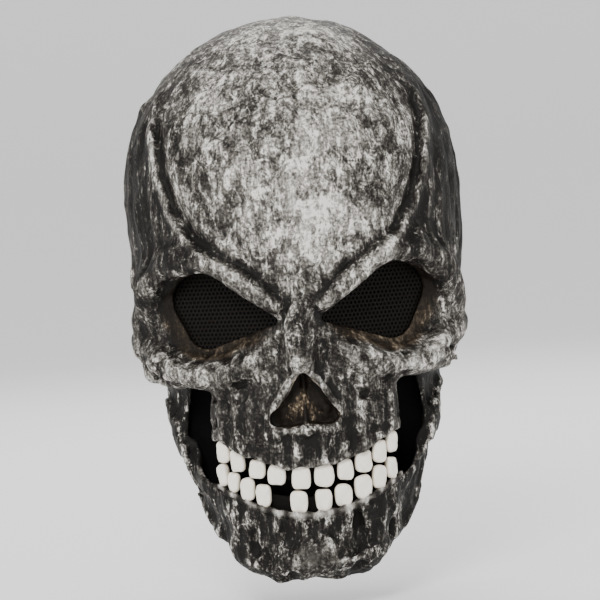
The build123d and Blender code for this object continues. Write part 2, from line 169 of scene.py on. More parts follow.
# %% Worn paint group
worn, given, result = new_group(
    "worn_paint",
    [
        ("Tone", "NodeSocketFloat", 0.5),
        ("Relief", "NodeSocketFloat", 0.0),
        ("Streak", "NodeSocketFloat", 0.0),
        ("Tint", "NodeSocketFloat", 0.0),
        ("Contrast", "NodeSocketFloat", 1.0),
    ],
    [("Color", "NodeSocketColor"), ("Level", "NodeSocketFloat"), ("Height", "NodeSocketFloat")],
)
add, subtract, multiply, multiply_add = (
    partial(math_node, worn, kind) for kind in ("ADD", "SUBTRACT", "MULTIPLY", "MULTIPLY_ADD")
)


def centred(value, gain):
    """The value less a half, times a gain."""
    return multiply_add(value, gain, -gain / 2)


def lines_at_half(value, sharpness):
    """Thin lines where a noise passes its middle value."""
    off_line = math_node(worn, "ABSOLUTE", subtract(value, 0.5))
    return multiply_add(off_line, -sharpness, 1.0, clamp=True)


place = coordinates(worn)
patches = noise_node(worn, place, 26.0, 7.0, 0.62, 0.6)
flakes = noise_node(worn, scaled(worn, place, (1.0, 1.0, 0.5)), 210.0, 7.0, 0.72, 0.3)
grain = noise_node(worn, place, 620.0, 4.0, 0.7)
drag = noise_node(worn, scaled(worn, place, (1.0, 1.0, 0.16)), 330.0, 6.0, 0.7, 0.3)
creases = noise_node(worn, scaled(worn, place, (1.0, 1.0, 0.3)), 170.0, 4.0, 0.6, 0.5)

# Cracks and veins follow coordinates that wander a little.
warp = worn.nodes.new("ShaderNodeTexNoise")
warp.inputs["Scale"].default_value = 90.0
wire(worn, warp.inputs["Vector"], place)
wobble = worn.nodes.new("ShaderNodeVectorMath")
wobble.operation = "MULTIPLY_ADD"
for slot, value in enumerate((warp.outputs["Color"], (0.02, 0.02, 0.02), place)):
    wire(worn, wobble.inputs[slot], value)
cells = worn.nodes.new("ShaderNodeTexVoronoi")
cells.feature = "DISTANCE_TO_EDGE"
cells.inputs["Scale"].default_value = 62.0
wire(worn, cells.inputs["Vector"], scaled(worn, wobble.outputs[0], (1.0, 1.0, 0.6)))
crack = multiply(cells.outputs["Distance"], 9.0, clamp=True)
crack_depth = multiply(subtract(1.0, crack), multiply_add(patches, -4.5, 3.0, clamp=True))
veins = noise_node(worn, scaled(worn, wobble.outputs[0], (1.0, 1.0, 0.55)), 75.0, 3.0, 0.55, 0.8)
vein = multiply_add(lines_at_half(creases, 18.0), 0.8, lines_at_half(veins, 22.0))
vein = multiply(vein, multiply_add(flakes, 4.0, -1.5, clamp=True))

mottle = add(centred(patches, 1.1), centred(flakes, 0.9))
mottle = add(mottle, centred(grain, 1.5))
mottle = multiply_add(vein, 0.50, mottle)
mottle = add(mottle, multiply(centred(drag, 2.6), given.outputs["Streak"]))
mottle = multiply(mottle, given.outputs["Contrast"])
level = add(add(given.outputs["Tone"], mottle), given.outputs["Relief"])
level = multiply_add(crack_depth, -0.22, level, clamp=True)
PAINT_STOPS = [
    (0.0, (0.008, 0.0075, 0.007)),
    (0.22, (0.022, 0.020, 0.018)),
    (0.45, (0.075, 0.070, 0.063)),
    (0.68, (0.24, 0.232, 0.215)),
    (0.88, (0.50, 0.49, 0.465)),
    (1.0, (0.74, 0.73, 0.70)),
]
paint = ramp_node(worn, level, PAINT_STOPS)
tinted = mix_color(worn, "MULTIPLY", given.outputs["Tint"], paint, (1.0, 0.80, 0.58, 1))
height = add(multiply(flakes, 0.6), multiply(grain, 0.25))
height = multiply_add(crack_depth, -0.5, multiply_add(vein, 0.35, height))
height = multiply_add(multiply(drag, given.outputs["Streak"]), 0.5, height)
for label, value in (("Color", tinted), ("Level", level), ("Height", height)):
    wire(worn, result.inputs[label], value)
print("worn paint nodes:", len(worn.nodes))

# %% [markdown]
# ** Weave.** Elastic and webbing share one woven height: fine ribs across and along,
# read from the UV map in metres so that the threads follow each strap round its bend.

# %% Weave group
weave, given, result = new_group(
    "weave",
    [("Across", "NodeSocketFloat", 900.0), ("Along", "NodeSocketFloat", 900.0)],
    [("Height", "NodeSocketFloat"), ("Thread", "NodeSocketFloat")],
)
split = weave.nodes.new("ShaderNodeSeparateXYZ")
wire(weave, split.inputs[0], coordinates(weave, "UV"))
waves = []
for axis, label in (("X", "Across"), ("Y", "Along")):
    turn = math_node(weave, "MULTIPLY", split.outputs[axis], given.outputs[label])
    waves.append(math_node(weave, "SINE", math_node(weave, "MULTIPLY", turn, 2 * math.pi)))
woven = math_node(weave, "MULTIPLY", waves[0], waves[1])
wire(weave, result.inputs["Height"], math_node(weave, "MULTIPLY_ADD", woven, 0.5, 0.5))
wire(weave, result.inputs["Thread"], math_node(weave, "MULTIPLY_ADD", waves[0], 0.5, 0.5))

# %% [markdown]
# ## Materials
# One material for each finish in the record. The latex reads its five paint numbers from the mesh, whose tone
# holds painted shade and painted highlights too, and the woven ones read their thread counts per metre.

# %% Material builders


def material(name, color=(0.5, 0.5, 0.5), rough=0.5, metal=0.0, specular=0.5):
    """A material with its tree and its surface shader."""
    made = bpy.data.materials.new(name)
    made.use_nodes = True
    shader = made.node_tree.nodes["Principled BSDF"]
    shader.inputs["Base Color"].default_value = (*color, 1)
    shader.inputs["Roughness"].default_value = rough
    shader.inputs["Metallic"].default_value = metal
    shader.inputs["Specular IOR Level"].default_value = specular
    return made, made.node_tree, shader


def use_group(tree, group, **values):
    node = tree.nodes.new("ShaderNodeGroup")
    node.node_tree = group
    for label, value in values.items():
        wire(tree, node.inputs[label], value)
    return node


def bump(tree, shader, height_value, strength, distance):
    node = tree.nodes.new("ShaderNodeBump")
    node.inputs["Strength"].default_value = strength
    node.inputs["Distance"].default_value = distance
    wire(tree, node.inputs["Height"], height_value)
    wire(tree, shader.inputs["Normal"], node.outputs[0])


def woven_material(name, color, across, along, rough, depth):
    made, tree, shader = material(name, color, rough, 0.0, 0.25)
    threads = use_group(tree, weave, Across=across, Along=along)
    bright = tuple(min(1.0, part * 1.9 + 0.01) for part in color)
    body = mix_color(tree, "MIX", threads.outputs["Thread"], (*color, 1), (*bright, 1))
    wire(tree, shader.inputs["Base Color"], body)
    bump(tree, shader, threads.outputs["Height"], 0.8, depth)
    return made


# %% [markdown]
# Colours are linear. The blacks have little specular, so that they stay deep under the soft lights.

# %% Materials
LATEX, tree, shader = material("latex_dry_brushed", rough=0.62, specular=0.10)
painted = {label.title(): attribute(tree, label) for label in ("tone", "relief", "streak", "tint", "contrast")}
coat = use_group(tree, worn, **painted)
wire(tree, shader.inputs["Base Color"], coat.outputs["Color"])
wire(tree, shader.inputs["Roughness"], math_node(tree, "MULTIPLY_ADD", coat.outputs["Level"], 0.28, 0.5))
bump(tree, shader, coat.outputs["Height"], 0.55, 0.0011)

TOOTH, tree, shader = material("tooth_cream", rough=0.38, specular=0.45)
spots = noise_node(tree, coordinates(tree), 240.0, 4.0, 0.6)
stain = math_node(tree, "MULTIPLY_ADD", spots, 0.5, -0.18, clamp=True)
stain = math_node(tree, "ADD", math_node(tree, "MULTIPLY", stain, 0.35), attribute(tree, "gum"), clamp=True)
enamel = mix_color(tree, "MIX", stain, (0.96, 0.90, 0.785, 1), (0.33, 0.26, 0.17, 1))
wire(tree, shader.inputs["Base Color"], enamel)
bump(tree, shader, spots, 0.15, 0.0006)

STEEL, tree, shader = material("nickel_plate", (0.52, 0.52, 0.54), 0.28, 1.0)
scratches = noise_node(tree, coordinates(tree), 900.0, 3.0, 0.6)
wire(tree, shader.inputs["Roughness"], math_node(tree, "MULTIPLY_ADD", scratches, 0.25, 0.2))

FOAM, tree, shader = material("foam_cloth", (0.035, 0.035, 0.037), 0.9, 0.0, 0.15)
fuzz = noise_node(tree, coordinates(tree), 1500.0, 3.0, 0.7)
nap = ramp_node(tree, fuzz, [(0.3, (0.018, 0.018, 0.019)), (0.7, (0.06, 0.06, 0.062))])
wire(tree, shader.inputs["Base Color"], nap)
bump(tree, shader, fuzz, 0.6, 0.0005)

ELASTIC = woven_material("elastic_black", (0.014, 0.014, 0.015), 820.0, 620.0, 0.75, 0.0004)
WEBBING = woven_material("webbing_black", (0.022, 0.022, 0.022), 500.0, 420.0, 0.7, 0.0005)

# Plain finishes: name, colour, roughness, metal, specular.
GUM, PANEL, LINER, RETAINER, PLASTIC, NYLON, THREAD, CLOTH = (
    material(*finish)[0]
    for finish in (
        ("gum_black", (0.006, 0.005, 0.0045), 0.6, 0.0, 0.06),
        ("eye_panel_black", (0.0075, 0.006, 0.0048), 0.6, 0.0, 0.07),
        ("eye_liner_black", (0.003, 0.003, 0.003), 0.95, 0.0, 0.05),
        ("retainer_black", (0.012, 0.012, 0.012), 0.5, 0.0, 0.2),
        ("slider_black", (0.018, 0.018, 0.019), 0.36),
        ("pivot_nylon", (0.028, 0.027, 0.026), 0.45),
        ("stitch_thread", (0.10, 0.10, 0.10), 0.7),
        ("stretch_cloth", (0.004, 0.004, 0.004), 0.95, 0.0, 0.05),
    )
)
print("materials:", len(bpy.data.materials))

# %% [markdown]
# ## Sculpting with a distance field
# The latex is sculpted as numbers on a grid: each number is the distance to the surface, negative
# inside. Forms are joined and carved with smooth minimum and maximum, which leaves the soft
# transitions of a cast, and the zero level becomes the mesh.

# %% Field tools


def smin(a, b, k):
    """Smooth minimum: joins two forms with a fillet about k wide."""
    h = np.clip(0.5 + 0.5 * (b - a) / k, 0, 1)
    return b + (a - b) * h - k * h * (1 - h)


def smax(a, b, k):
    return -smin(-a, -b, k)


def ease(low, high, value):
    """0 below low, 1 above high and smooth between; low may be the larger."""
    t = np.clip((value - low) / (high - low), 0, 1)
    return t * t * (3 - 2 * t)


class Field:
    """Distances on a grid, in millimetres."""

    def __init__(self, low, high, step):
        self.low, self.step = np.array(low, float), step
        counts = np.ceil((np.array(high) - self.low) / step).astype(int) + 1
        lines = [(self.low[i] + step * np.arange(counts[i])).astype(np.float32) for i in range(3)]
        self.x, self.y, self.z = lines[0][:, None, None], lines[1][None, :, None], lines[2][None, None, :]
        self.v = np.full(counts, 40.0, np.float32)

    def window(self, low, high):
        """The part of the grid inside a box, as slices."""
        first = np.floor((np.array(low) - self.low) / self.step).astype(int)
        last = np.ceil((np.array(high) - self.low) / self.step).astype(int) + 1
        return tuple(slice(max(0, a), max(1, min(b, n))) for a, b, n in zip(first, last, self.v.shape))

    def join(self, here, form, blend, carve):
        now = self.v[here]
        self.v[here] = smax(now, -form, blend) if carve else smin(now, form, blend)

    def tube(self, points, radii, blend, side=1, carve=False):
        """Joins, or carves, a round tube of changing radius; side -1 mirrors its points."""
        points, reach = np.array(points, float) * (side, 1, 1), max(radii) + 2 * blend + 3
        here = self.window(points.min(0) - reach, points.max(0) + reach)
        x, y, z = self.x[here[0]], self.y[:, here[1]], self.z[:, :, here[2]]
        form = None
        for a, b, r, s in zip(points[:-1], points[1:], radii[:-1], radii[1:]):
            d = b - a
            px, py, pz = x - a[0], y - a[1], z - a[2]
            t = np.clip((px * d[0] + py * d[1] + pz * d[2]) / max(1e-6, d @ d), 0, 1)
            away = np.sqrt((px - t * d[0]) ** 2 + (py - t * d[1]) ** 2 + (pz - t * d[2]) ** 2) - (r + (s - r) * t)
            form = away if form is None else smin(form, away, 1.5)
        self.join(here, form, blend, carve)

    def blob(self, centre, radii, blend, carve=False):
        """Joins, or carves, an ellipsoid."""
        centre, radii = np.array(centre, float), np.array(radii, float)
        here = self.window(centre - radii - 2 * blend - 3, centre + radii + 2 * blend + 3)
        x, y, z = self.x[here[0]] - centre[0], self.y[:, here[1]] - centre[1], self.z[:, :, here[2]] - centre[2]
        k0 = np.sqrt((x / radii[0]) ** 2 + (y / radii[1]) ** 2 + (z / radii[2]) ** 2)
        k1 = np.sqrt((x / radii[0] ** 2) ** 2 + (y / radii[1] ** 2) ** 2 + (z / radii[2] ** 2) ** 2) + 1e-6
        self.join(here, k0 * (k0 - 1) / k1, blend, carve)

    def swell(self, amount):
        """Moves the surface out by some millimetres, or in where the amount is negative."""
        self.v -= np.asarray(amount, np.float32)

    def close_box(self):
        """Puts the grid's outer faces outside the form, so that its mesh is closed."""
        for face in (0, -1):
            self.v[face] = self.v[:, face] = self.v[:, :, face] = 3.0

    def noise(self, cell, seed):
        """Smooth random numbers with about unit spread, whose lumps are about a cell across on each axis."""
        chance = np.random.default_rng(SEED + seed)
        counts = [int(n * self.step / c) + 5 for n, c in zip(self.v.shape, cell)]
        lumps = chance.standard_normal(counts).astype(np.float32)
        for axis in range(3):
            at = np.arange(self.v.shape[axis]) * self.step / cell[axis]
            whole = at.astype(int)
            f = at - whole
            table = np.zeros((len(at), counts[axis]), np.float32)
            parts = ((1 - f) ** 3, 3 * f**3 - 6 * f**2 + 4, -3 * f**3 + 3 * f**2 + 3 * f + 1, f**3)
            for k, part in enumerate(parts):
                table[np.arange(len(at)), whole + k] = part / 6
            lumps = np.moveaxis(np.tensordot(table, np.moveaxis(lumps, axis, 0), 1), 0, axis)
        return lumps / lumps.std()

    def sample(self, values, points):
        """The grid's values at some points, by linear interpolation."""
        at = (points - self.low) / self.step
        base = np.clip(np.floor(at).astype(int), 0, np.array(values.shape) - 2)
        f = np.clip(at - base, 0, 1)
        total = np.zeros(len(points))
        for corner in np.ndindex(2, 2, 2):
            weight = np.prod(np.where(corner, f, 1 - f), axis=1)
            i = base + corner
            total += weight * values[i[:, 0], i[:, 1], i[:, 2]]
        return total

    def softened(self, values, width):
        """Distances averaged over a box, twice."""
        count = max(1, int(round(width / self.step)))
        out = np.clip(values, -12, 12)
        for _ in range(2):
            for axis in range(3):
                total = np.cumsum(np.insert(out, 0, 0.0, axis=axis), axis=axis, dtype=np.float64)
                n = out.shape[axis]
                up = np.clip(np.arange(n) + count + 1, 0, n)
                down = np.clip(np.arange(n) - count, 0, n)
                span = (up - down).reshape([-1 if k == axis else 1 for k in range(3)])
                out = (np.take(total, up, axis) - np.take(total, down, axis)) / span
        return out.astype(np.float32)


def true_distance(values, step):
    """Distances less stretched: where the numbers change too fast they are divided by their slope."""
    slope = sum(np.gradient(values, step, axis=axis) ** 2 for axis in range(3))
    return values / np.sqrt(np.maximum(slope, 1.0))


def polygon_distance(u, v, points):
    """Signed distance to a closed polygon in a plane, negative inside."""
    points = np.array(points, float)
    nearest, inside = np.full(np.broadcast(u, v).shape, 1e9), np.zeros(np.broadcast(u, v).shape, bool)
    for (ax, ay), (bx, by) in zip(points, np.roll(points, -1, axis=0)):
        dx, dy = bx - ax, by - ay
        t = np.clip(((u - ax) * dx + (v - ay) * dy) / max(1e-9, dx * dx + dy * dy), 0, 1)
        nearest = np.minimum(nearest, (u - ax - t * dx) ** 2 + (v - ay - t * dy) ** 2)
        if ay != by:
            crosses = ((ay > v) != (by > v)) & (u < (bx - ax) * (v - ay) / (by - ay) + ax)
            inside ^= crosses
    return np.where(inside, -1, 1) * np.sqrt(nearest)


def ellipse_distance(x, y, a, b):
    """Distance to an upright ellipse about the origin, negative inside."""
    k0 = np.sqrt((x / a) ** 2 + (y / b) ** 2)
    return k0 * (k0 - 1) / (np.sqrt((x / a**2) ** 2 + (y / b**2) ** 2) + 1e-6)


def circles_hull(circles):
    """The convex hull of some circles, as a polygon."""
    turns = np.linspace(0, 2 * math.pi, 48, endpoint=False)
    around = [(x + r * math.cos(t), z + r * math.sin(t)) for x, z, r in circles for t in turns]
    cloud = sorted({(round(x, 3), round(z, 3)) for x, z in around})

    def half(points):
        chain = []
        for p in points:
            while len(chain) > 1 and np.cross(np.subtract(chain[-1], chain[-2]), np.subtract(p, chain[-1])) <= 0:
                chain.pop()
            chain.append(p)
        return chain[:-1]

    return half(cloud) + half(cloud[::-1])


def smile(x):
    """How far the tooth rows have risen at a distance from the middle."""
    return SMILE_RISE * (x / SMILE_REACH) ** 2


def ridges(u, teeth, spread):
    """A row of bumps, one over each tooth."""
    return sum(np.exp(-(((u - x) / (spread * w)) ** 2)) for x, w, _ in teeth)


def drill_ear(field, beyond):
    """The hole for the rivet that the jaw turns on, where |x| is more than a limit."""
    hole = np.sqrt((field.y - PIVOT_Y) ** 2 + (field.z - PIVOT_Z) ** 2) - PIVOT_HOLE
    field.v = np.maximum(field.v, np.where(np.abs(field.x) > beyond, -hole, -40)).astype(np.float32)


# %% [markdown]
# Meshes are made from millimetre points. A closed one that comes out inside out is turned round.

# %% Mesh tools


def points_of(made):
    found = np.empty(len(made.data.vertices) * 3, np.float32)
    made.data.vertices.foreach_get("co", found)
    return found.reshape(-1, 3).astype(float) * 1000


def signed_volume(made):
    """Six times the volume, which is negative when the faces look inward."""
    mesh = made.data
    mesh.calc_loop_triangles()
    index = np.empty(len(mesh.loop_triangles) * 3, np.int32)
    mesh.loop_triangles.foreach_get("vertices", index)
    corners = points_of(made)[index.reshape(-1, 3)]
    return float(np.einsum("ij,ij->i", corners[:, 0], np.cross(corners[:, 1], corners[:, 2])).sum())


def placed(name, mesh, look):
    made = bpy.data.objects.new(name, mesh)
    bpy.context.scene.collection.objects.link(made)
    mesh.materials.append(look)
    return made


def mesh_object(name, points, faces, look, smooth=True, closed=True):
    """An object from millimetre points, with its outside facing out."""
    mesh = bpy.data.meshes.new(name)
    mesh.from_pydata((np.array(points) * 0.001).tolist(), [], [list(map(int, f)) for f in faces])
    mesh.polygons.foreach_set("use_smooth", [smooth] * len(mesh.polygons))
    made = placed(name, mesh, look)
    if faces and closed and signed_volume(made) < 0:
        mesh.flip_normals()
    return made


def evaluated_copy(source, name):
    """The object with its modifiers applied, in place of the original."""
    mesh = bpy.data.meshes.new_from_object(source.evaluated_get(bpy.context.evaluated_depsgraph_get()))
    mesh.name = name
    source.modifiers.clear()
    source.data = mesh
    source.name = name
    return source


def field_mesh(field, name, look, limit):
    """The zero level of a field as a closed mesh with no more than a number of triangles."""
    volume = openvdb.FloatGrid(field.step * 3)
    volume.copyFromArray(np.clip(field.v, -3 * field.step, 3 * field.step))
    points, triangles, quads = volume.convertToPolygons(0.0, 0.0)
    points = np.array(points, float) * field.step + field.low
    quads = np.array(quads)
    faces = np.concatenate([quads[:, [0, 1, 2]], quads[:, [0, 2, 3]]])
    if len(triangles):
        faces = np.concatenate([faces, np.array(triangles)])
    a, b, c = (points[faces[:, i]] for i in range(3))
    if np.einsum("ij,ij->i", a, np.cross(b, c)).sum() < 0:
        faces = faces[:, ::-1]
    mesh = bpy.data.meshes.new(name)
    mesh.vertices.add(len(points))
    mesh.vertices.foreach_set("co", (points * 0.001).ravel())
    mesh.loops.add(faces.size)
    mesh.loops.foreach_set("vertex_index", faces.astype(np.int32).ravel())
    mesh.polygons.add(len(faces))
    mesh.polygons.foreach_set("loop_start", np.arange(0, faces.size, 3, dtype=np.int32))
    mesh.update(calc_edges=True)
    mesh.polygons.foreach_set("use_smooth", [True] * len(faces))
    made = placed(name, mesh, look)
    if len(faces) > limit:
        thin = made.modifiers.new("thin", "DECIMATE")
        thin.ratio = limit / len(faces)
        made = evaluated_copy(made, name)
    print(name, "triangles:", len(made.data.polygons))
    return made


def paint_points(made, **values):
    """Stores one number on each vertex for the material to read."""
    for label, numbers in values.items():
        layer = made.data.attributes.new(label, "FLOAT", "POINT")
        layer.data.foreach_set("value", np.asarray(numbers, np.float32))


# %% [markdown]
# ## The skull shell
# The sculpt starts from the cast's plain head form and gets the forehead's mass with its grooved
# border. The border is read from the front: `inward` is the distance inside it.

# %% Head form and forehead
skull = Field((-112, -122, -128), (112, 78, 158), STEP_SKULL)
X, Y, Z = skull.x, skull.y, skull.z
ax = np.abs(X)
radius = np.sqrt(X**2 + Y**2)
NECK_HEIGHTS = [-80, -66, -56, -38, -17, 4, 25, 46, 50]
NECK_RADII = [82, 88.4, 93.5, 97.4, 98.2, 99.2, 99.8, 100, 100]
tapered = (radius - np.interp(Z, NECK_HEIGHTS, NECK_RADII)) * 0.98
domed = np.sqrt(radius**2 + (Z - DOME_Z) ** 2) - HALF_WIDTH
skull.v = np.where(Z < DOME_Z, tapered, domed).astype(np.float32)
skull.v = smax(skull.v, -66.0 - Z, 4.0)
CAD_HEAD = skull.v.copy()

FOREHEAD = [
    (0, -22), (5, -21), (16, -9), (29, 2), (46, 12), (57, 21), (67, 39), (73, 60), (75, 84), (69, 106),
    (52, 128), (0, 158), (-40, 158), (-40, -22),
]


def seen_from_front(u, outline):
    """Distance to an outline on the XZ plane, over the skull's grid."""
    return polygon_distance(u[:, 0, :], skull.z[:, 0, :], outline)[:, None, :]


inward = -seen_from_front(ax, FOREHEAD)
lower_part = 1 - ease(78, 112, Z)
relief = 3.4 * ease(-1.5, 9, inward) * (0.35 + 0.65 * lower_part)
relief -= 2.5 * np.exp(-((inward + 0.4) ** 2) / 9.0) * lower_part
relief += 2.3 * np.exp(-((inward + 6.4) ** 2) / 7.0) * lower_part * ease(-26, -12, Z)
skull.swell(relief * ease(25, -25, Y))

# %% [markdown]
# Tubes of changing radius make the brow ridges and the cheekbones. The upper jaw is an ellipse wall
# with a ridge over each tooth's root and a scalloped lower edge.

# %% Brows, cheekbones and upper jaw
for side in (-1, 1):
    # The brow roll over each socket, which wraps down to the cheekbone.
    brow = [(10, -98, -24), (30, -97, -7), (52, -87, 6), (70, -72, 9), (84, -53, -4), (91, -36, -26)]
    skull.tube(brow, [5.5, 6.0, 7.0, 7.0, 8, 7], 14.0, side)
    # The cheekbone, from the ear to beside the nose, and its lower edge.
    cheek = [(97, 2, -40), (91, -36, -42), (80, -57, -50), (62, -73, -57), (44, -83, -57), (28, -91, -52)]
    skull.tube(cheek, [4.5, 7, 8.5, 9, 8.5, 7], 10.0, side)
    edge = [(88, -38, -58), (74, -56, -61), (56, -72, -62), (38, -80, -62)]
    skull.tube(edge, [4, 5, 5.5, 4.5], 6.0, side)
skull.v = smax(skull.v, -67.0 - Z, 5.0)

upper_a = np.interp(Z, [-80, -39], [64, 57]).astype(np.float32)
upper_b = np.interp(Z, [-80, -39], [42, 35]).astype(np.float32)
roots = ridges(X, UPPER_TEETH, 0.30) * 1.7 - 0.6
root_zone = ease(-72, -92, Z - smile(X) * 0.8)
gum_line = UPPER_ROW_Z + smile(X) + 5.4
scallop = ridges(X, UPPER_TEETH, 0.5) * 2.4 - 1.6
wall = ellipse_distance(X, Y - ARCH_Y, upper_a, upper_b) - roots * root_zone
wall = smax(wall, ax - 53.5 + ease(-80, -60, Z) * 5, 5.0)
wall = smax(wall, gum_line + scallop - Z, 1.6)
wall = smax(wall, Z + 42.0, 10.0)
wall = np.maximum(wall, Y + 60.0)
skull.v = smin(skull.v, wall.astype(np.float32), 9.0)

# %% [markdown]
# The nose bones stand over a pear-shaped cavity with a raised rim. The socket bowls are carved down
# to a floor that stays a little in front of the eye panel's plane.

# %% Nose and sockets
skull.tube([(0, -97, -24), (0, -98.5, -38), (0, -101, -52)], [7.5, 7.5, 6.5], 9.0)
NOSE_RIM = [
    (0, -103.5, -56), (8, -101.5, -62.5), (16, -99.5, -75), (20.5, -98, -84), (16, -99.2, -92.2),
    (6, -100.2, -90.5), (0, -101, -93),
]
for side in (-1, 1):
    skull.tube(NOSE_RIM, [1.6, 1.5, 1.6, 1.7, 1.6, 1.4, 1.6], 2.8, side)
    # Frown creases between the brows.
    skull.tube([(4, -104.5, -7), (6, -105, -16), (10.5, -103.5, -27)], [1.0, 2.2, 2.2], 2.0, side, True)
    # The folds that run from the inner eye down the cheek.
    skull.tube([(12, -100, -40), (24, -99, -60), (29, -99, -78)], [2.2, 3.5, 3.0], 5.0, side, True)

across, deep = MESH_OUTER[0] - MESH_INNER[0], MESH_OUTER[1] - MESH_INNER[1]
before_panel = ((ax - MESH_INNER[0]) * deep - (Y - MESH_INNER[1]) * across) / math.hypot(across, deep)
uncarved = skull.v.copy()
for side in (-1, 1):
    bowl = [(18, -103, -31), (34, -98, -30), (59, -86, -26), (66, -80, -26), (73, -69, -26)]
    skull.tube(bowl, [7.5, 14, 27, 26, 19], 5.0, side, True)
floor_left = np.maximum(smax(uncarved, before_panel - 2.4, 3.0), 8.0 - ax)
skull.v = np.where(Y < -20, smin(skull.v, floor_left, 2.0), skull.v).astype(np.float32)

NOSE = seen_from_front(X, circles_hull(NOSE_CIRCLES)).astype(np.float32)
skull.v = smax(skull.v, -np.maximum(NOSE + 0.6, Y - NOSE_BACK), 1.2)

# %% [markdown]
# Noise gives the cast its lumps, dragged streaks on the temples and over the roots, pits on the
# cheekbones and dents in the forehead.

# %% Cast texture
temple = ease(1, -8, inward) * ease(70, 84, np.sqrt(X**2 + 0.25 * np.minimum(Y, 0) ** 2)) * ease(-30, 0, Z)
skull.swell(0.45 * skull.noise((11, 11, 11), 1) + 0.28 * skull.noise((4.5, 4.5, 5.5), 2))
skull.swell(0.75 * skull.noise((4.2, 4.2, 24), 3) * temple)
low_streak = ease(-62, -78, Z) * ease(-116, -100, Z)
skull.swell(0.55 * skull.noise((3.6, 3.6, 15), 4) * low_streak)
pits = np.clip(skull.noise((3.8, 3.8, 3.4), 5) - 0.4, 0, 1.6) - 0.25
skull.swell(-1.5 * pits * ease(-42, -50, Z) * ease(-100, -88, Z) * ease(20, 30, ax))
dents = np.clip(skull.noise((7, 7, 9), 6) - 1.0, 0, 1.5)
skull.swell(-0.8 * dents * ease(0, 6, inward) * ease(-30, -10, Z))
outer = true_distance(skull.v, skull.step)

# %% [markdown]
# The hollow is the cast's own cavity, but it never comes nearer to the sculpt than a wall's
# thickness. Socket walls reach back to the panels, whose own places are kept clear.

# %% Hollow, openings and holes
hollow = smax(CAD_HEAD + HEAD_WALL, outer + SCULPT_WALL, 1.0)
low_skin = np.maximum(np.maximum(outer, -(outer + 3.0)), Z + 60.0)
body = smin(np.maximum(outer, -hollow), low_skin, 0.5)
inner_wall = ellipse_distance(X, Y - ARCH_Y, upper_a - HEAD_WALL, upper_b - HEAD_WALL)
lower_wall = np.maximum(np.maximum(outer, -inner_wall), Z + 58.0)
body = np.minimum(body, np.where(ax < 56, lower_wall, 40.0))
nose_floor = np.maximum(np.maximum(NOSE - 2.5, -(Y - NOSE_BACK)), Y - NOSE_BACK - 4.0)
body = np.minimum(body, nose_floor)

EYE = seen_from_front(ax, circles_hull(EYE_CIRCLES)).astype(np.float32)
OPENING = [(15, -28.5, 2.5), (57.0, -15.5, 16.0), (53.5, -32, 11.8)]
seen = seen_from_front(ax, circles_hull(OPENING)).astype(np.float32)
body = np.minimum(body, np.maximum(np.maximum(outer, EYE - 6.5), -before_panel))
body = np.maximum(body, -np.maximum(np.maximum(EYE - 3.8, before_panel), -before_panel - 9.0))
skull.v = smax(body, -np.maximum(seen, Y + 40.0), 0.8).astype(np.float32)

# The septum and the bumps in the nasal cavity.
skull.tube([(0, -92.5, -60), (0, -94.5, -74), (0, -98, -90)], [1.0, 1.2, 1.8], 0.8)
for side in (-1, 1):
    skull.tube([(3.6, -90.5, -66), (6.0, -91.5, -78), (6.5, -92, -86)], [1.2, 1.6, 1.2], 0.8, side)
    skull.tube([(8.0, -90.5, -72), (12.0, -92, -80), (11.5, -92, -87)], [1.6, 3.0, 2.4], 1.0, side)

# The slanted open back, from its top to its lowest point on YZ.
BACK_TOP, BACK_LOW = (60, 126), (38, -66)
slant = np.array([BACK_TOP[1] - BACK_LOW[1], BACK_LOW[0] - BACK_TOP[0]]) / math.dist(BACK_TOP, BACK_LOW)
back = (Y - BACK_TOP[0]) * slant[0] + (Z - BACK_TOP[1]) * slant[1]
skull.v = smax(skull.v, back, 1.2)
drill_ear(skull, 80)


def strap_point(kind, reach, angle, across=0.0):
    """A point of the harness: kind is left, right or crown; angle runs along the strap in degrees."""
    turn = np.radians(angle)
    c, s = reach * np.cos(turn), reach * np.sin(turn)
    if kind == "crown":
        return np.stack(np.broadcast_arrays(across, s, DOME_Z + c), -1)
    return np.stack(np.broadcast_arrays(c if kind == "right" else -c, s, across), -1)


# Where each strap leaves the shell's edge and where it ends on the rear pad, in degrees.
EDGES = {"left": 28.5, "right": 28.5, "crown": 37.0}
ENDS = {"left": 84.0, "right": 84.0, "crown": 98.0}
for kind, edge in EDGES.items():
    rivet = [strap_point(kind, reach, edge - STRAP_RIVET_BACK) for reach in (85, 110)]
    skull.tube(rivet, [2.3, 2.3], 0.2, carve=True)
skull.close_box()
skull_shell = field_mesh(skull, "skull_latex", LATEX, 190000)

# %% [markdown]
# ** Where the paint goes.** Each vertex gets a base tone, which holds painted shade and painted highlights too,
# how convex the cast is there, how streaked the paint is and how brown. The inside of the cast is left bare.

# %% Skull paint
spots = points_of(skull_shell)
px, py, pz = np.abs(spots[:, 0]), spots[:, 1], spots[:, 2]
curve, wide = (skull.sample(skull.softened(outer, width) - outer, spots) for width in (3.0, 7.0))
inside_border = -polygon_distance(px, pz, FOREHEAD)
inside_eye = polygon_distance(px, pz, circles_hull([(x + 1, z, r + 8) for x, z, r in EYE_CIRCLES]))
bare = ease(-1.3, -1.9, skull.sample(outer, spots))
forehead = ease(-2, 5, inside_border) * ease(-30, -8, pz)
brow_tone = np.exp(-(((inside_border + 14) / 9.0) ** 2)) * ease(-40, -20, pz) * ease(30, 12, pz)
tone = 0.23 + 0.26 * forehead - 0.09 * brow_tone
# Painted shade: the forehead darkens towards its sides, where the head turns away from the light.
tone -= 0.15 * ease(30, 62, px) * forehead
tone += 0.07 * ease(100, 135, pz)
# Painted highlight: a lighter band down the middle of the forehead.
tone += 0.10 * np.exp(-((px / 30) ** 2)) * ease(-20, 30, pz) * ease(135, 90, pz)
tone += 0.03 * ease(-38, -48, pz) * ease(-72, -60, pz) * ease(24, 40, px)
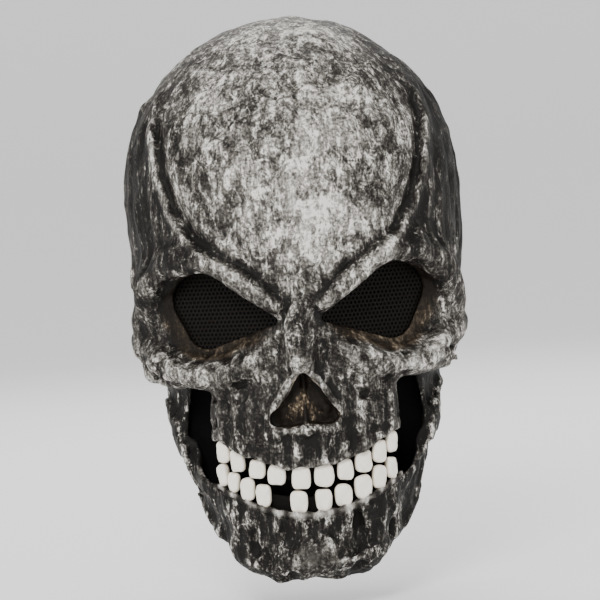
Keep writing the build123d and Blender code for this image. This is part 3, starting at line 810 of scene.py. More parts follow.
# The forehead's border is a ridge with a painted highlight along it and painted shade in the groove inside it.
lower_border = ease(105, 70, pz) * ease(-24, -12, pz)
tone += 0.13 * np.exp(-(((inside_border + 6.4) / 2.4) ** 2)) * lower_border
tone -= 0.16 * np.exp(-(((inside_border + 0.4) / 3.0) ** 2)) * lower_border
round_side = np.sqrt(px**2 + 0.2 * np.minimum(py, 0) ** 2)
# Painted shade: the temples and the sides beside the forehead are darker where the head turns from the light; the
# same mask also adds streaks and lowers the contrast.
side_shade = ease(2, -6, inside_border) * ease(68, 82, round_side) * ease(-34, -6, pz)
tone -= 0.19 * side_shade
in_bowl = ease(3, -3, inside_eye) * ease(1.0, -4.0, skull.sample(CAD_HEAD, spots))
tone += 0.16 * in_bowl * ease(-32, -42, pz) * ease(20, 45, px)
# Painted shade: the socket is darker, most of all in its upper part under the brow.
tone -= in_bowl * (0.04 + 0.20 * ease(-30, -12, pz))
tone -= 0.13 * ease(-62, -74, pz)
nose_in = ease(1.5, -1.5, polygon_distance(spots[:, 0], pz, circles_hull(NOSE_CIRCLES))) * ease(-101, -96, py)
tone -= 0.10 * nose_in
paint_points(
    skull_shell,
    tone=tone * (1 - bare) - 0.9 * bare,
    relief=np.clip((0.34 + 0.5 * nose_in) * curve + 0.015 * wide, -0.45, 0.3 + 0.25 * nose_in),
    streak=0.20 + 0.65 * np.clip(side_shade + 0.7 * ease(-60, -75, pz), 0, 1),
    tint=np.clip(0.8 * in_bowl + nose_in + 0.12, 0, 1),
    contrast=np.clip(1.0 - 0.45 * in_bowl - 0.15 * side_shade, 0, 1),
)
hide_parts("skull_shell")
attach(skull_shell, "skull")
print("painted vertices:", len(spots))

# %% [markdown]
# ## The jaw
# The jaw follows the cast's own ellipses, height by height, with streaked ridges, a scalloped light
# gum edge under the lower teeth, a chin boss and a hollow to one side of it.

# %% Jaw sculpt
# Height, half width, half depth and middle Y of the ellipse at some heights.
JAW = np.array(
    [
        (-178, 34, 28, -60), (-168, 44, 40, -57), (-150, 54.5, 50, -48), (-138, 61, 53, -45), (-120, 69, 60, -37),
        (-95, 79, 78, -14), (-68, 83, 83, 0), (-45, 88.5, 88.5, 0), (-18, 90.5, 90.5, 0),
    ],
    float,
)
JAW_CUT = [
    (-125, -195), (-125, -160.3), (-112, -151.5), (-62, -117.5), (-46, -94), (-48, -60), (-36, -30), (6, -20),
    (22, -32), (20, -66), (13, -112), (-14, -140), (-46, -172), (-52, -195),
]


def jaw_ellipse(z):
    """The jaw's half width, half depth and middle Y at some heights."""
    return (np.interp(z, JAW[:, 0], JAW[:, k]) for k in (1, 2, 3))


jaw = Field((-97, -116, -190), (97, 30, -14), STEP_JAW)
X, Y, Z = jaw.x, jaw.y, jaw.z
a, b, c = (size.astype(np.float32) for size in jaw_ellipse(Z))
plain = ellipse_distance(X, Y - c, a, b).astype(np.float32)
plain = smax(plain, JAW_BOTTOM - Z, 4.0)
jaw.v = plain.copy()
low_roots = ridges(X, LOWER_TEETH + [(-17.5, 8.0, 12)], 0.34) * 1.5 - 0.8
under = ease(-166, -150, Z) * ease(-118, -130, Z - smile(X))
jaw.swell(low_roots * under * ease(-40, -62, Y))
jaw.tube([(-52, -96, -150), (-22, -107, -153), (22, -107, -153), (52, -96, -150)], [7, 10, 10, 7], 7.0, carve=True)
jaw.blob((0, -92, -165), (17, 10, 11), 7.0)
for side in (-1, 1):
    jaw.tube([(20, -91, -172), (34, -80, -168), (46, -66, -155)], [6, 6, 5], 6.0, side)
    jaw.tube([(69, -55, -112), (78, -40, -92), (81, -22, -72)], [3.0, 4.0, 2.5], 6.0, side)
    jaw.tube([(71, -2, -118), (65, -30, -136), (55, -58, -152)], [2.5, 4.5, 4], 7.0, side)
# The ridge and the two hollows that make the chin uneven.
jaw.tube([(14, -98, -170), (27, -96, -166), (40, -86, -168)], [2.5, 3.2, 2.5], 3.0)
jaw.blob((28, -92, -177), (13, 9, 6.5), 2.0, True)
jaw.blob((-29, -92, -167), (6, 5, 7), 4.0, True)
jaw.swell(0.85 * jaw.noise((4.0, 4.0, 17), 11))
jaw.swell(0.45 * jaw.noise((9, 9, 9), 12) + 0.3 * jaw.noise((3.6, 3.6, 4.4), 13))
gashes = np.clip(jaw.noise((3.2, 3.2, 12), 14) - 1.0, 0, 1.5)
jaw.swell(-0.9 * gashes)
# Behind and above the cheekbones the ramus keeps the cast's plain form, which runs inside the head.
keep = ease(-76, -66, Z)
jaw.v = (jaw.v * (1 - keep) + plain * keep).astype(np.float32)
jaw.v = np.maximum(jaw.v, plain - 4.5)
outside = true_distance(jaw.v, jaw.step)

# %% [markdown]
# The shell is hollowed and cut to its outline on YZ, and in front its edge follows the teeth with a
# rolled gum line.

# %% Jaw hollow and edge
cut = polygon_distance(Y[0, :, :], Z[0, :, :], JAW_CUT)[None, :, :].astype(np.float32)
teeth_scallop = ridges(X, LOWER_TEETH, 0.5) * 1.8 - 1.2
hollow = np.maximum(np.maximum(plain + JAW_WALL, outside + JAW_SCULPT_WALL), JAW_BOTTOM + 4.0 - Z)
shell = np.maximum(outside, -hollow)
gum_edge = smax(cut, Z - (LOWER_ROW_Z + smile(X) - 5.6 - teeth_scallop), 1.0)
jaw.v = smax(shell, np.where(Y < -66, gum_edge, cut), 1.4).astype(np.float32)
line = []
for x in np.linspace(-53, 53, 45):
    z = LOWER_ROW_Z + smile(x) - 7.4
    za, zb, zc = (float(size) for size in jaw_ellipse(z))
    line.append((x, zc - zb * math.sqrt(max(0.0, 1 - (x / za) ** 2)) + 0.6, z - 0.8 * math.sin(x * 0.9)))
jaw.tube(line, [1.6] * len(line), 1.6)
drill_ear(jaw, 70)
jaw.close_box()
jaw_shell = field_mesh(jaw, "jaw_latex", LATEX, 150000)

# %% [markdown]
# The jaw is nearly bare latex with heavy streaks; the gum line and the chin boss are light.

# %% Jaw paint
spots = points_of(jaw_shell)
px, py, pz = np.abs(spots[:, 0]), spots[:, 1], spots[:, 2]
curve = jaw.sample(jaw.softened(outside, 2.6) - outside, spots)
inside_face = ease(-1.4, -2.0, jaw.sample(plain, spots)) * ease(-0.6, -1.6, jaw.sample(outside, spots))
gum = np.exp(-((pz - (LOWER_ROW_Z + smile(spots[:, 0]) - 7.0)) ** 2) / 7.0) * ease(-54, -64, py)
boss = np.exp(-((px / 15) ** 2) - ((pz + 165) / 10) ** 2) * ease(-70, -85, py)
hollow_dark = np.exp(-(((spots[:, 0] - 28) / 12) ** 2) - ((pz + 177) / 6) ** 2) * ease(-70, -82, py)
tone = -0.06 + 0.62 * gum + 0.34 * boss - 0.35 * hollow_dark - 0.08 * ease(-70, -50, py)
paint_points(
    jaw_shell,
    tone=tone * (1 - inside_face) - 0.9 * inside_face,
    relief=np.clip(0.55 * curve, -0.4, 0.5) * (1 - 0.7 * boss),
    streak=1.0 - 0.9 * np.maximum(boss, gum),
    tint=np.full(len(spots), 0.12),
    contrast=1.25 - np.maximum(0.8 * boss, 1.05 * gum),
)
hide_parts("jaw_shell")
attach(jaw_shell, "jaw")

# %% [markdown]
# ## Teeth
# Every tooth is its own casting: a rounded block with a narrower gum end, a little twist and a
# lump or two, square to the dental arch.

# %% Tooth maker


def make_tooth(name, x, seen_width, height, front, row_z, upper, seed):
    """One tooth at x on the arch; front is the arch's half axes, and the width is as seen in front."""
    chance = np.random.default_rng(SEED + seed)
    turn = math.asin(x / front[0])
    along = np.array([front[0] * math.cos(turn), front[1] * math.sin(turn), 0.0])
    width = seen_width * np.linalg.norm(along) / along[0]
    along /= np.linalg.norm(along)
    out = np.array([along[1], -along[0], 0.0])
    middle = np.array([x, ARCH_Y - front[1] * math.cos(turn), row_z + smile(x)])
    rings, sides = ((26, 44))
    lat = (np.arange(1, rings) / rings - 0.5) * math.pi
    lon = np.arange(sides) / sides * 2 * math.pi

    def power(value, exponent):
        return np.sign(value) * np.abs(value) ** exponent

    grid_lat, grid_lon = np.meshgrid(lat, lon, indexing="ij")
    round_off = chance.uniform(0.50, 0.66)
    u = power(np.cos(grid_lat), round_off) * power(np.cos(grid_lon), 0.56)
    v = power(np.cos(grid_lat), round_off) * power(np.sin(grid_lon), 0.66)
    w = power(np.sin(grid_lat), 0.66)
    u = np.concatenate([[0.0], u.ravel(), [0.0]])
    v = np.concatenate([[0.0], v.ravel(), [0.0]])
    w = np.concatenate([[-1.0], w.ravel(), [1.0]])
    root = (w if upper else -w) * 0.5 + 0.5
    u = u * (1 - 0.13 * root**2) + 0.05 * chance.uniform(-1, 1) * w
    v = v * (1 - 0.12 * root) - 0.10 * np.maximum(v, 0) * u**2
    phase = chance.uniform(0, 6.28, 6)
    lump = 0.0
    for k in range(3):
        waves = np.sin(4.2 * u * (k + 1) + phase[k]) * np.sin(3.6 * w * (k + 1) + phase[k + 3])
        lump = lump + waves / (k + 1)
    v = v + 0.20 * lump * (v > 0)
    w = w + 0.035 * np.sin(3.5 * u + phase[1])
    tilt = chance.uniform(-0.06, 0.06)
    across, up = u * width * 0.485, w * height * 0.492
    across, up = across * math.cos(tilt) - up * math.sin(tilt), across * math.sin(tilt) + up * math.cos(tilt)
    points = middle + across[:, None] * along + (v * 2.75 - 2.3)[:, None] * out
    points = points + up[:, None] * np.array([0, 0, 1.0])
    faces = []
    for i in range(rings - 2):
        for j in range(sides):
            a, b = 1 + i * sides + j, 1 + i * sides + (j + 1) % sides
            faces.append((a, b, b + sides, a + sides))
    last = len(points) - 1
    for j in range(sides):
        k = (j + 1) % sides
        faces.append((0, 1 + k, 1 + j))
        faces.append((last, 1 + (rings - 2) * sides + j, 1 + (rings - 2) * sides + k))
    made = mesh_object(name, points, faces, TOOTH)
    edge = np.clip(np.maximum(np.abs(u) ** 6, np.abs(w) ** 6) - 0.35, 0, 1)
    paint_points(made, gum=np.clip(0.55 * edge + 0.35 * ease(0.80, 1.0, root) + 0.5 * (v < 0), 0, 1))
    return made


# %% [markdown]
# The upper row rides on the skull and the lower row on the jaw. Each row's teeth have seeds of
# their own.

# %% Both rows of teeth
UPPER_SEEDS = 40
for row, teeth, front_size, row_z, body_name in (
    ("upper", UPPER_TEETH, UPPER_FRONT, UPPER_ROW_Z, "skull"),
    ("lower", LOWER_TEETH, LOWER_FRONT, LOWER_ROW_Z, "jaw"),
):
    upper = row == "upper"
    for number, (x, w, h) in enumerate(teeth, 1):
        node = f"{row}_tooth_{number:02d}"
        seed = number + UPPER_SEEDS * upper
        tooth = make_tooth(f"{node}_cast", x, w, h, front_size, row_z, upper, seed)
        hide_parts(node)
        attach(tooth, body_name)
print("teeth:", len(UPPER_TEETH) + len(LOWER_TEETH))

# %% [markdown]
# ## Eye panels
# The perforated panel is one hexagonal cell with a round hole, instanced on a triangular lattice by
# Geometry Nodes. The lattice's points lie on the panel's plane inside the socket, and a thin black
# cloth behind them hides the wearer's eyes.

# %% Perforated panel by Geometry Nodes


def repeat_tree():
    """Instances a cell on every vertex, turned by its turn attribute, then makes it real with its material."""
    tree = bpy.data.node_groups.new("repeat_on_points", "GeometryNodeTree")
    tree.is_modifier = True
    for label, kind in (("Geometry", "Geometry"), ("Cell", "Object"), ("Size Spread", "Float"), ("Seed", "Int")):
        tree.interface.new_socket(name=label, in_out="INPUT", socket_type=f"NodeSocket{kind}")
    tree.interface.new_socket(name="Material", in_out="INPUT", socket_type="NodeSocketMaterial")
    tree.interface.new_socket(name="Geometry", in_out="OUTPUT", socket_type="NodeSocketGeometry")
    given, result = tree.nodes.new("NodeGroupInput"), tree.nodes.new("NodeGroupOutput")
    info = tree.nodes.new("GeometryNodeObjectInfo")
    place, real = tree.nodes.new("GeometryNodeInstanceOnPoints"), tree.nodes.new("GeometryNodeRealizeInstances")
    look = tree.nodes.new("GeometryNodeSetMaterial")
    chance = tree.nodes.new("FunctionNodeRandomValue")
    chance.data_type = "FLOAT"
    turn = tree.nodes.new("GeometryNodeInputNamedAttribute")
    turn.data_type = "FLOAT_VECTOR"
    turn.inputs["Name"].default_value = "turn"
    low, high = tree.nodes.new("ShaderNodeMath"), tree.nodes.new("ShaderNodeMath")
    low.operation, high.operation = "SUBTRACT", "ADD"
    low.inputs[0].default_value = high.inputs[0].default_value = 1.0
    links = [
        (given.outputs["Cell"], info.inputs["Object"]),
        (given.outputs["Geometry"], place.inputs["Points"]),
        (info.outputs["Geometry"], place.inputs["Instance"]),
        (turn.outputs["Attribute"], place.inputs["Rotation"]),
        (given.outputs["Size Spread"], low.inputs[1]),
        (given.outputs["Size Spread"], high.inputs[1]),
        (low.outputs[0], chance.inputs[2]),
        (high.outputs[0], chance.inputs[3]),
        (given.outputs["Seed"], chance.inputs["Seed"]),
        (chance.outputs[1], place.inputs["Scale"]),
        (place.outputs["Instances"], real.inputs[0]),
        (real.outputs[0], look.inputs["Geometry"]),
        (given.outputs["Material"], look.inputs["Material"]),
        (look.outputs[0], result.inputs[0]),
    ]
    for a, b in links:
        tree.links.new(a, b)
    return tree


def apply_tree(made, tree, name, **values):
    """Runs a tree on an object with its inputs set by socket identifier, and keeps the mesh it gives."""
    run = made.modifiers.new("nodes", "NODES")
    run.node_group = tree
    for item in tree.interface.items_tree:
        if item.item_type == "SOCKET" and item.in_out == "INPUT" and item.name in values:
            run[item.identifier] = values[item.name]
    return evaluated_copy(made, name)


def ring_cell(across, hole, thick, sides=12):
    """A closed hexagonal tile with a round hole, flat on XY."""
    points, faces = [], []
    for k in range(sides):
        t = 2 * math.pi * k / sides
        wedge = (t + math.pi / 6) % (math.pi / 3) - math.pi / 6
        reach = across / 2 / math.cos(wedge)
        for r, z in ((reach, 0), (reach, -thick), (hole, -thick), (hole, 0)):
            points.append((r * math.cos(t), r * math.sin(t), z))
    for k in range(sides):
        a, b = 4 * k, 4 * ((k + 1) % sides)
        for i in range(4):
            j = (i + 1) % 4
            faces.append((a + i, a + j, b + j, b + i))
    return points, faces


def set_turns(made, turns):
    """Stores each vertex's rotation, as Euler angles, for the tree."""
    layer = made.data.attributes.new("turn", "FLOAT_VECTOR", "POINT")
    layer.data.foreach_set("vector", np.array([tuple(turn) for turn in turns], np.float32).ravel())


# %% [markdown]
# Each panel is made in its own plane: `along` runs outward and `toward` faces the front. The liner
# is a thin closed sheet just behind the cells.

# %% Eye panels and liners
PITCH, HOLE, CELL_THICK, PANEL_BACK = 2.75, 0.95, 0.5, 0.32
LINER_FRONT, LINER_BACK = 0.52, 0.74
LATTICE = [(i, j) for i in range(-4, 50) for j in range(-30, 16)]
repeated = repeat_tree()
cell = mesh_object("cell", *ring_cell(PITCH, HOLE, CELL_THICK), PANEL, False)
along = np.array([MESH_OUTER[0] - MESH_INNER[0], MESH_OUTER[1] - MESH_INNER[1], 0.0])
along /= np.linalg.norm(along)
toward = np.array([along[1], -along[0], 0.0])
start = np.array([MESH_INNER[0], MESH_INNER[1], 0.0]) - toward * PANEL_BACK
outline, rim = (circles_hull([(x, z, r + more) for x, z, r in EYE_CIRCLES]) for more in (1.4, 2.4))
lattice = []
for i, j in LATTICE:
    u, v = (i + 0.5 * (j % 2)) * PITCH, j * PITCH * math.sqrt(3) / 2
    point = start + along * u + np.array([0, 0, v])
    if polygon_distance(point[:1], point[2:], outline)[0] < 0:
        lattice.append(point)
print("cells in a panel:", len(lattice))

n = len(rim)
liner_faces = [tuple(range(n)), tuple(range(2 * n - 1, n - 1, -1))]
liner_faces += [(i, n + i, n + (i + 1) % n, (i + 1) % n) for i in range(n)]
liner_points = []
for back_by in (LINER_FRONT, LINER_BACK):
    for x, z in rim:
        base = start + along * ((x - MESH_INNER[0]) / along[0]) + np.array([0, 0, z])
        liner_points.append(base - toward * back_by)

for side, name in ((-1, "left"), (1, "right")):
    mirror = np.array([side, 1, 1])
    panel = mesh_object(f"eye_panel_{name}", [point * mirror for point in lattice], [], PANEL)
    # The cell's corners point up and down, its face to the front.
    axes = ((along[0], side * along[1], 0), (0, 0, 1), (side * toward[0], toward[1], 0))
    facing = Matrix([Vector(axis) for axis in axes]).transposed()
    set_turns(panel, [facing.to_euler()] * len(lattice))
    panel = apply_tree(panel, repeated, f"eye_panel_{name}", Cell=cell, Seed=3, Material=PANEL)
    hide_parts(f"eye_mesh_{name}")
    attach(panel, "skull")
    liner = mesh_object(f"eye_liner_{name}", [point * mirror for point in liner_points], liner_faces, LINER, False)
    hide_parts(f"eye_mesh_{name}")
    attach(liner, "skull")
bpy.data.objects.remove(cell)

# %% [markdown]
# ## Harness
# Straps are woven bands. The layer that comes back from the ring is sewn to the slider.

# %% Bands and stitches


def band(name, path, look, thick=1.0, width=STRAP_WIDTH, across_count=9):
    """A closed woven band whose middle line is given as (kind, radius, degrees) points."""
    points, faces, uv = [], [], []
    middle = [strap_point(*p) for p in path]
    length = np.concatenate([[0], np.cumsum([np.linalg.norm(b - a) for a, b in zip(middle[:-1], middle[1:])])])
    side_axis = np.array([1.0, 0, 0]) if path[0][0] == "crown" else np.array([0, 0, 1.0])
    count = len(path)
    profile = [(i / (across_count - 1) - 0.5) for i in range(across_count)]
    ring = [(p * width, 0.5) for p in profile] + [(p * width, -0.5) for p in profile[::-1]]
    for i, here in enumerate(middle):
        ahead = middle[min(count - 1, i + 1)] - middle[max(0, i - 1)]
        ahead /= np.linalg.norm(ahead)
        up = np.cross(side_axis, ahead)
        for s, t in ring:
            worn_edge = 1 - 0.35 * (abs(s) > 0.49 * width)
            points.append(here + side_axis * s + up * t * thick * worn_edge)
            uv.append((s * 0.001, length[i] * 0.001))
    m = len(ring)
    for i in range(count - 1):
        for j in range(m):
            k = (j + 1) % m
            faces.append((i * m + j, i * m + k, (i + 1) * m + k, (i + 1) * m + j))
    faces += [tuple(range(m - 1, -1, -1)), tuple(range((count - 1) * m, count * m))]
    made = mesh_object(name, points, faces, look)
    layer = made.data.uv_layers.new(name="UVMap")
    layer.data.foreach_set("uv", np.array([uv[loop.vertex_index] for loop in made.data.loops], np.float32).ravel())
    made.data.set_sharp_from_angle(angle=math.radians(50))
    return made, float(length[-1]) * 0.001


def arc(kind, reach, first, last, count):
    return [(kind, reach, t) for t in np.linspace(first, last, count)]


# %% [markdown]
# Each strap has two pieces. The long one runs from the rear pad forwards, once round the ring's bar
# and back a little. The sewn one goes on from there to the slider's middle bar, which it wraps.

# %% Straps
RING_BAR_AT, SLIDER_AT, SEWN_AT = 11.5, 22, 4.2
OVER = STRAP_R + RETURN_LIFT
half = RETURN_LIFT / 2
turn_angle = math.degrees(half / STRAP_R)
for kind, edge in EDGES.items():
    ring_bar, sewn_end = edge + RING_BAR_AT, edge + SLIDER_AT - SEWN_AT
    lower_run = arc(kind, STRAP_R, ENDS[kind], ring_bar, 70)
    bend = []
    for t in np.linspace(0, math.pi, 11)[1:-1]:
        bend.append((kind, STRAP_R + half - half * math.cos(t), ring_bar - turn_angle * math.sin(t)))
    upper_start = arc(kind, OVER, ring_bar, ring_bar + 1.6, 4)
    fixed, fixed_length = band(f"strap_{kind}", lower_run + bend + upper_start, ELASTIC)
    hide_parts(f"{kind}_strap")
    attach(fixed, "skull")
    back_run = arc(kind, OVER, ring_bar + 1.7, sewn_end, 40)
    down = [(kind, OVER + 0.25 * t, sewn_end + 2.2 * t) for t in (0.5, 1.0)]
    sewn, sewn_length = band(f"strap_return_{kind}", back_run + down, ELASTIC)
    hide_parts(f"{kind}_strap")
    begin, finish = (strap_point(kind, OVER, at) * 0.001 for at in (ring_bar + 1.7, sewn_end))
    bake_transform(sewn)
    print(f"{kind} strap: {fixed_length * 1000:.1f} mm, then {sewn_length * 1000:.1f} mm")

# %% [markdown]
# The straps' ends are sewn to the rear pad with a box of stitches. Each stitch is one small grain of
# thread, instanced by the same tree as the panel's cells.

# %% Stitches
HALF_STITCH, THREAD_WIDE, THREAD_HIGH = 1.15, 0.3, 0.25
section = [(-THREAD_WIDE, 0), (0, -THREAD_HIGH), (THREAD_WIDE, 0), (0, THREAD_HIGH)]
grain_points = [(-HALF_STITCH, 0, 0), (HALF_STITCH, 0, 0)]
grain_points += [(x, y, z) for x in (-0.75, 0.75) for y, z in section]
grain_faces = []
for i in range(4):
    j = (i + 1) % 4
    grain_faces += [(0, 2 + i, 2 + j), (1, 6 + j, 6 + i), (2 + i, 6 + i, 6 + j, 2 + j)]
stitch = mesh_object("stitch", grain_points, grain_faces, THREAD)
places, turns = [], []
for kind, end in ENDS.items():
    # Two rows across the strap and two along its edges: degrees, millimetres, whether it runs across.
    sewn_box = [(end - back, at, True) for back in (0.9, 5.6) for at in np.arange(-10, 10.1, 2.5)]
    sewn_box += [(end - back, at, False) for back in (1.7, 3.25, 4.8) for at in (-10.6, 10.6)]
    for angle, at, crosswise in sewn_box:
        out = strap_point(kind, 1.0, angle) - strap_point(kind, 0.0, angle)
        ahead = strap_point(kind, STRAP_R, angle + 0.1) - strap_point(kind, STRAP_R, angle)
        ahead /= np.linalg.norm(ahead)
        aside = np.cross(out, ahead)
        first, second = (aside, -ahead) if crosswise else (ahead, aside)
        places.append(strap_point(kind, STRAP_R + 0.52, angle, at))
        turns.append(Matrix((first, second, out)).transposed().to_euler())
stitches = mesh_object("harness_stitches", places, [], THREAD)
set_turns(stitches, turns)
stitches = apply_tree(
    stitches, repeated, "harness_stitches", Cell=stitch, Seed=5, Material=THREAD, **{"Size Spread": 0.08}
)
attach(stitches, "skull")
bpy.data.objects.remove(stitch)
print("stitches:", len(places))

# %% [markdown]
# ## Small parts
# Rings, rivets, sliders, tabs, gum strips, retainers and pivots keep the shapes they have in the
# CAD and only get their looks.

# %% Looks for the pieces that keep their shapes
PAIR = ("left", "right")
for look, names in (
    (STEEL, ["strap_rivets", "strap_washers"] + [f"strap_ring_{kind}" for kind in EDGES]),
    (GUM, ["upper_gum_strip", "lower_gum_strip"]),
    (PLASTIC, [f"slider_{kind}" for kind in EDGES]),
    (WEBBING, [f"strap_tab_{kind}" for kind in EDGES]),
    (RETAINER, [f"mesh_retainer_{side}" for side in PAIR]),
    (NYLON, [f"{part}_{side}" for part in ("jaw_pivot", "pivot_spacer", "pivot_washer") for side in PAIR]),
):
    for node in names:
        NODES[node].data.materials.clear()
        NODES[node].data.materials.append(look)

# %% [markdown]
# ## Foam and cloth
# The pads are foam with a cloth face, rounded all over and pressed against the shells.

# %% Pads


def pad_mesh(name, node, low, high, form, grain_seed):
    """A soft pad from a distance function over a box."""
    field = Field(low, high, 1.1)
    field.v = form(field).astype(np.float32)
    field.swell(0.12 * field.noise((6, 6, 6), grain_seed))
    field.close_box()
    made = field_mesh(field, name, FOAM, 30000)
    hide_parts(node)
    return made


def dome(field, inset):
    """The head form's own surface, moved in."""
    reach = np.sqrt(field.x**2 + field.y**2)
    return np.where(field.z < DOME_Z, reach, np.sqrt(reach**2 + (field.z - DOME_Z) ** 2)) - (HALF_WIDTH - inset)


def rounded_box(u, v, half_u, half_v, corner):
    du, dv = np.abs(u) - half_u + corner, np.abs(v) - half_v + corner
    return np.sqrt(np.maximum(du, 0) ** 2 + np.maximum(dv, 0) ** 2) + np.minimum(np.maximum(du, dv), 0) - corner


def against_dome(u, v, half_u, half_v, corner, thick):
    """A pad's form: a layer inside the dome, cut to a rounded box."""

    def form(field):
        plate = rounded_box(u(field), v(field), half_u, half_v, corner)
        layer = np.maximum(dome(field, 3.4), -dome(field, 2.8 + thick) + 0.3)
        return smax(layer, plate + 0.3, 6.0)

    return form


FOREHEAD_PAD_Z, TEMPLE_PAD_Y, TEMPLE_PAD_Z = 56, -14, 40
forehead_form = against_dome(lambda f: f.x, lambda f: f.z - FOREHEAD_PAD_Z, 48, 20, 12, 12)
forehead_pad = pad_mesh("forehead_pad_foam", "forehead_pad", (-52, -100, 32), (52, -60, 80), forehead_form, 31)
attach(forehead_pad, "skull")
temple_form = against_dome(lambda f: f.y - TEMPLE_PAD_Y, lambda f: f.z - TEMPLE_PAD_Z, 18, 23, 11, 10)
for side, name in ((-1, "left"), (1, "right")):
    low_x, high_x = sorted((side * 76, side * 100))
    low, high = (low_x, -36, 13), (high_x, 8, 67)
    temple_pad = pad_mesh(f"temple_pad_{name}_foam", f"temple_pad_{name}", low, high, temple_form, 33 + side)
    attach(temple_pad, "skull")


def rear_form(field):
    reach = np.sqrt(field.x**2 + field.y**2)
    outside_face = STRAP_R - 1.0 - 1.3 * ease(14, 20, field.z)
    layer = np.maximum(reach - outside_face, 89.3 - reach)
    plate = rounded_box(field.x, field.z - 12, 20, 31.5, 9)
    return smax(layer, plate, 2.6)


rear_pad = pad_mesh("rear_pad_sewn", "rear_pad", (-24, 82, -24), (24, 98, 48), rear_form, 37)
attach(rear_pad, "skull")


def chin_form(field):
    a, b, c = jaw_ellipse(field.z)
    shell_inside = ellipse_distance(field.x, field.y - c, a - 3.4, b - 3.4)
    plate = rounded_box(field.x, field.y + 78, 25, 17, 10)
    return smax(np.maximum(np.maximum(shell_inside, -173.2 - field.z), field.z + 155), plate, 4.0)


chin_pad = pad_mesh("chin_pad_foam", "chin_pad", (-30, -100, -178), (30, -56, -150), chin_form, 39)
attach(chin_pad, "jaw")

# %% [markdown]
# The black cloth behind the mouth hangs between the upper jaw and the lower one, with loose folds.

# %% Mouth cloth
CLOTH_TOP, CLOTH_LOW, CLOTH_THICK = -64.0, -148.0, 0.35
BEND_SHARE, BEND_R, BEND_Y = 0.72, 46.63, -38.4
line = []
for t in np.linspace(-1, 1, 61):
    if abs(t) > BEND_SHARE:
        s = (abs(t) - BEND_SHARE) / 0.28
        line.append((math.copysign(46 + 38 * s, t), -46 + 12 * s))
    else:
        angle = math.atan2(46, 7.6) * t / BEND_SHARE
        line.append((BEND_R * math.sin(angle), BEND_Y - BEND_R * math.cos(angle)))
rows, columns = 44, len(line)
run = np.concatenate([[0], np.cumsum([math.dist(a, b) for a, b in zip(line[:-1], line[1:])])])
points = []
for layer in (0.0, CLOTH_THICK):
    for i in range(rows):
        z = CLOTH_TOP + (CLOTH_LOW - CLOTH_TOP) * i / (rows - 1)
        wide_a, wide_b, wide_c = (float(size) for size in jaw_ellipse(z))
        for k, (x, y) in enumerate(line):
            fold = 0.5 * math.sin(0.21 * run[k] + 2.0 * math.sin(z * 0.06)) * math.sin(math.pi * i / (rows - 1))
            # The cloth stays inside the jaw's wall.
            limit = wide_a * math.sqrt(max(0.0, 1 - ((y - wide_c) / wide_b) ** 2)) - 3.6
            points.append((math.copysign(min(abs(x), limit), x), y + fold + layer, z))
half_count = rows * columns
faces = []
for i in range(rows - 1):
    for k in range(columns - 1):
        a = i * columns + k
        b = a + half_count
        faces += [(a, a + 1, a + columns + 1, a + columns), (b, b + columns, b + columns + 1, b + 1)]
loop = list(range(columns))
loop += [i * columns + columns - 1 for i in range(1, rows)]
loop += [(rows - 1) * columns + k for k in range(columns - 2, -1, -1)]
loop += [i * columns for i in range(rows - 2, 0, -1)]
faces += [(b, a, a + half_count, b + half_count) for a, b in zip(loop, loop[1:] + loop[:1])]
mouth = mesh_object("mouth_cloth_gusset", points, faces, CLOTH)
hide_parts("mouth_cloth")
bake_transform(mouth)
print(f"mouth cloth: {run[-1]:.0f} mm from ramus to ramus")

# %% [markdown]
# ## Studio
# A plain pale floor that curves up all round like a dish, one large soft light above the camera,
# weak side lights and a pale sky.

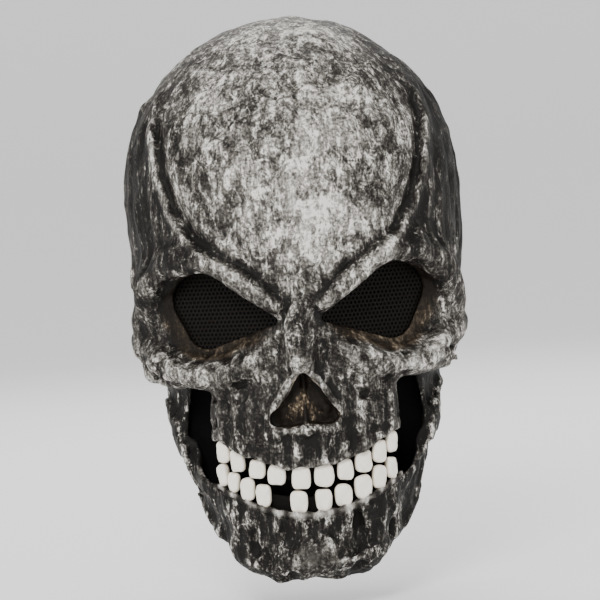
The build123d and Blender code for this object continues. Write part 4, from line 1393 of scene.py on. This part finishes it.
# %% Floor, lights and camera
STAGE, tree, shader = material("studio_white", (0.86, 0.86, 0.86), 0.9, 0.0, 0.1)
shader.inputs["Emission Color"].default_value = (1, 1, 1, 1)
shader.inputs["Emission Strength"].default_value = 0.28
FLOOR_Z, FLAT_R, DISH_R, SPOKES = -197.0, 2600.0, 1300.0, 64
profile = [(1.0, FLOOR_Z), (FLAT_R, FLOOR_Z)]
for t in np.linspace(0, math.pi / 2, 13)[1:]:
    profile.append((FLAT_R + DISH_R * math.sin(t), FLOOR_Z + DISH_R - DISH_R * math.cos(t)))
points, faces = [], []
for k in range(SPOKES):
    t = 2 * math.pi * k / SPOKES
    points += [(r * math.cos(t), r * math.sin(t), z) for r, z in profile]
n = len(profile)
for k in range(SPOKES):
    a, b = k * n, (k + 1) % SPOKES * n
    faces += [(a + i, a + i + 1, b + i + 1, b + i) for i in range(n - 1)]
# The dish's middle is closed by one small polygon.
faces.append(tuple(k * n for k in range(SPOKES)))
backdrop = mesh_object("backdrop", points, faces, STAGE, closed=False)


def area_light(name, place, aim, size, power):
    light = bpy.data.lights.new(name, "AREA")
    light.shape, light.size, light.energy = "SQUARE", size, power
    made = bpy.data.objects.new(name, light)
    made.location = place
    made.rotation_euler = (Vector(aim) - Vector(place)).to_track_quat("-Z", "Y").to_euler()
    bpy.context.scene.collection.objects.link(made)


area_light("key", (-0.30, -1.5, 0.95), (0, -0.05, 0.0), 0.6, 26)
area_light("left", (-1.6, -0.9, 0.3), (0, 0, 0), 0.9, 7)
area_light("right", (1.6, -0.9, 0.3), (0, 0, 0), 0.9, 5)
area_light("back", (0, 1.2, 1.5), (0, 0.4, 0.2), 1.2, 30)
world = bpy.data.worlds.new("studio")
world.use_nodes = True
world.node_tree.nodes["Background"].inputs[0].default_value = (1, 1, 1, 1)
world.node_tree.nodes["Background"].inputs[1].default_value = 0.55
bpy.context.scene.world = world

camera = bpy.data.cameras.new("camera")
camera.lens, camera.sensor_width = 143.0, 36.0
camera.dof.use_dof = False
eye = bpy.data.objects.new("camera", camera)
bpy.context.scene.collection.objects.link(eye)
bpy.context.scene.camera = eye
CAMERA_AT, CAMERA_AIM, CAMERA_ROLL = Vector((0.0, -1.45, 0.03)), Vector((0.0010, -0.03, -0.0200)), -3.6
look = (CAMERA_AIM - CAMERA_AT).to_track_quat("-Z", "Y").to_matrix()
roll = Matrix.Rotation(math.radians(CAMERA_ROLL), 3, "Z")
eye.matrix_world = Matrix.Translation(CAMERA_AT) @ (look @ roll).to_4x4()
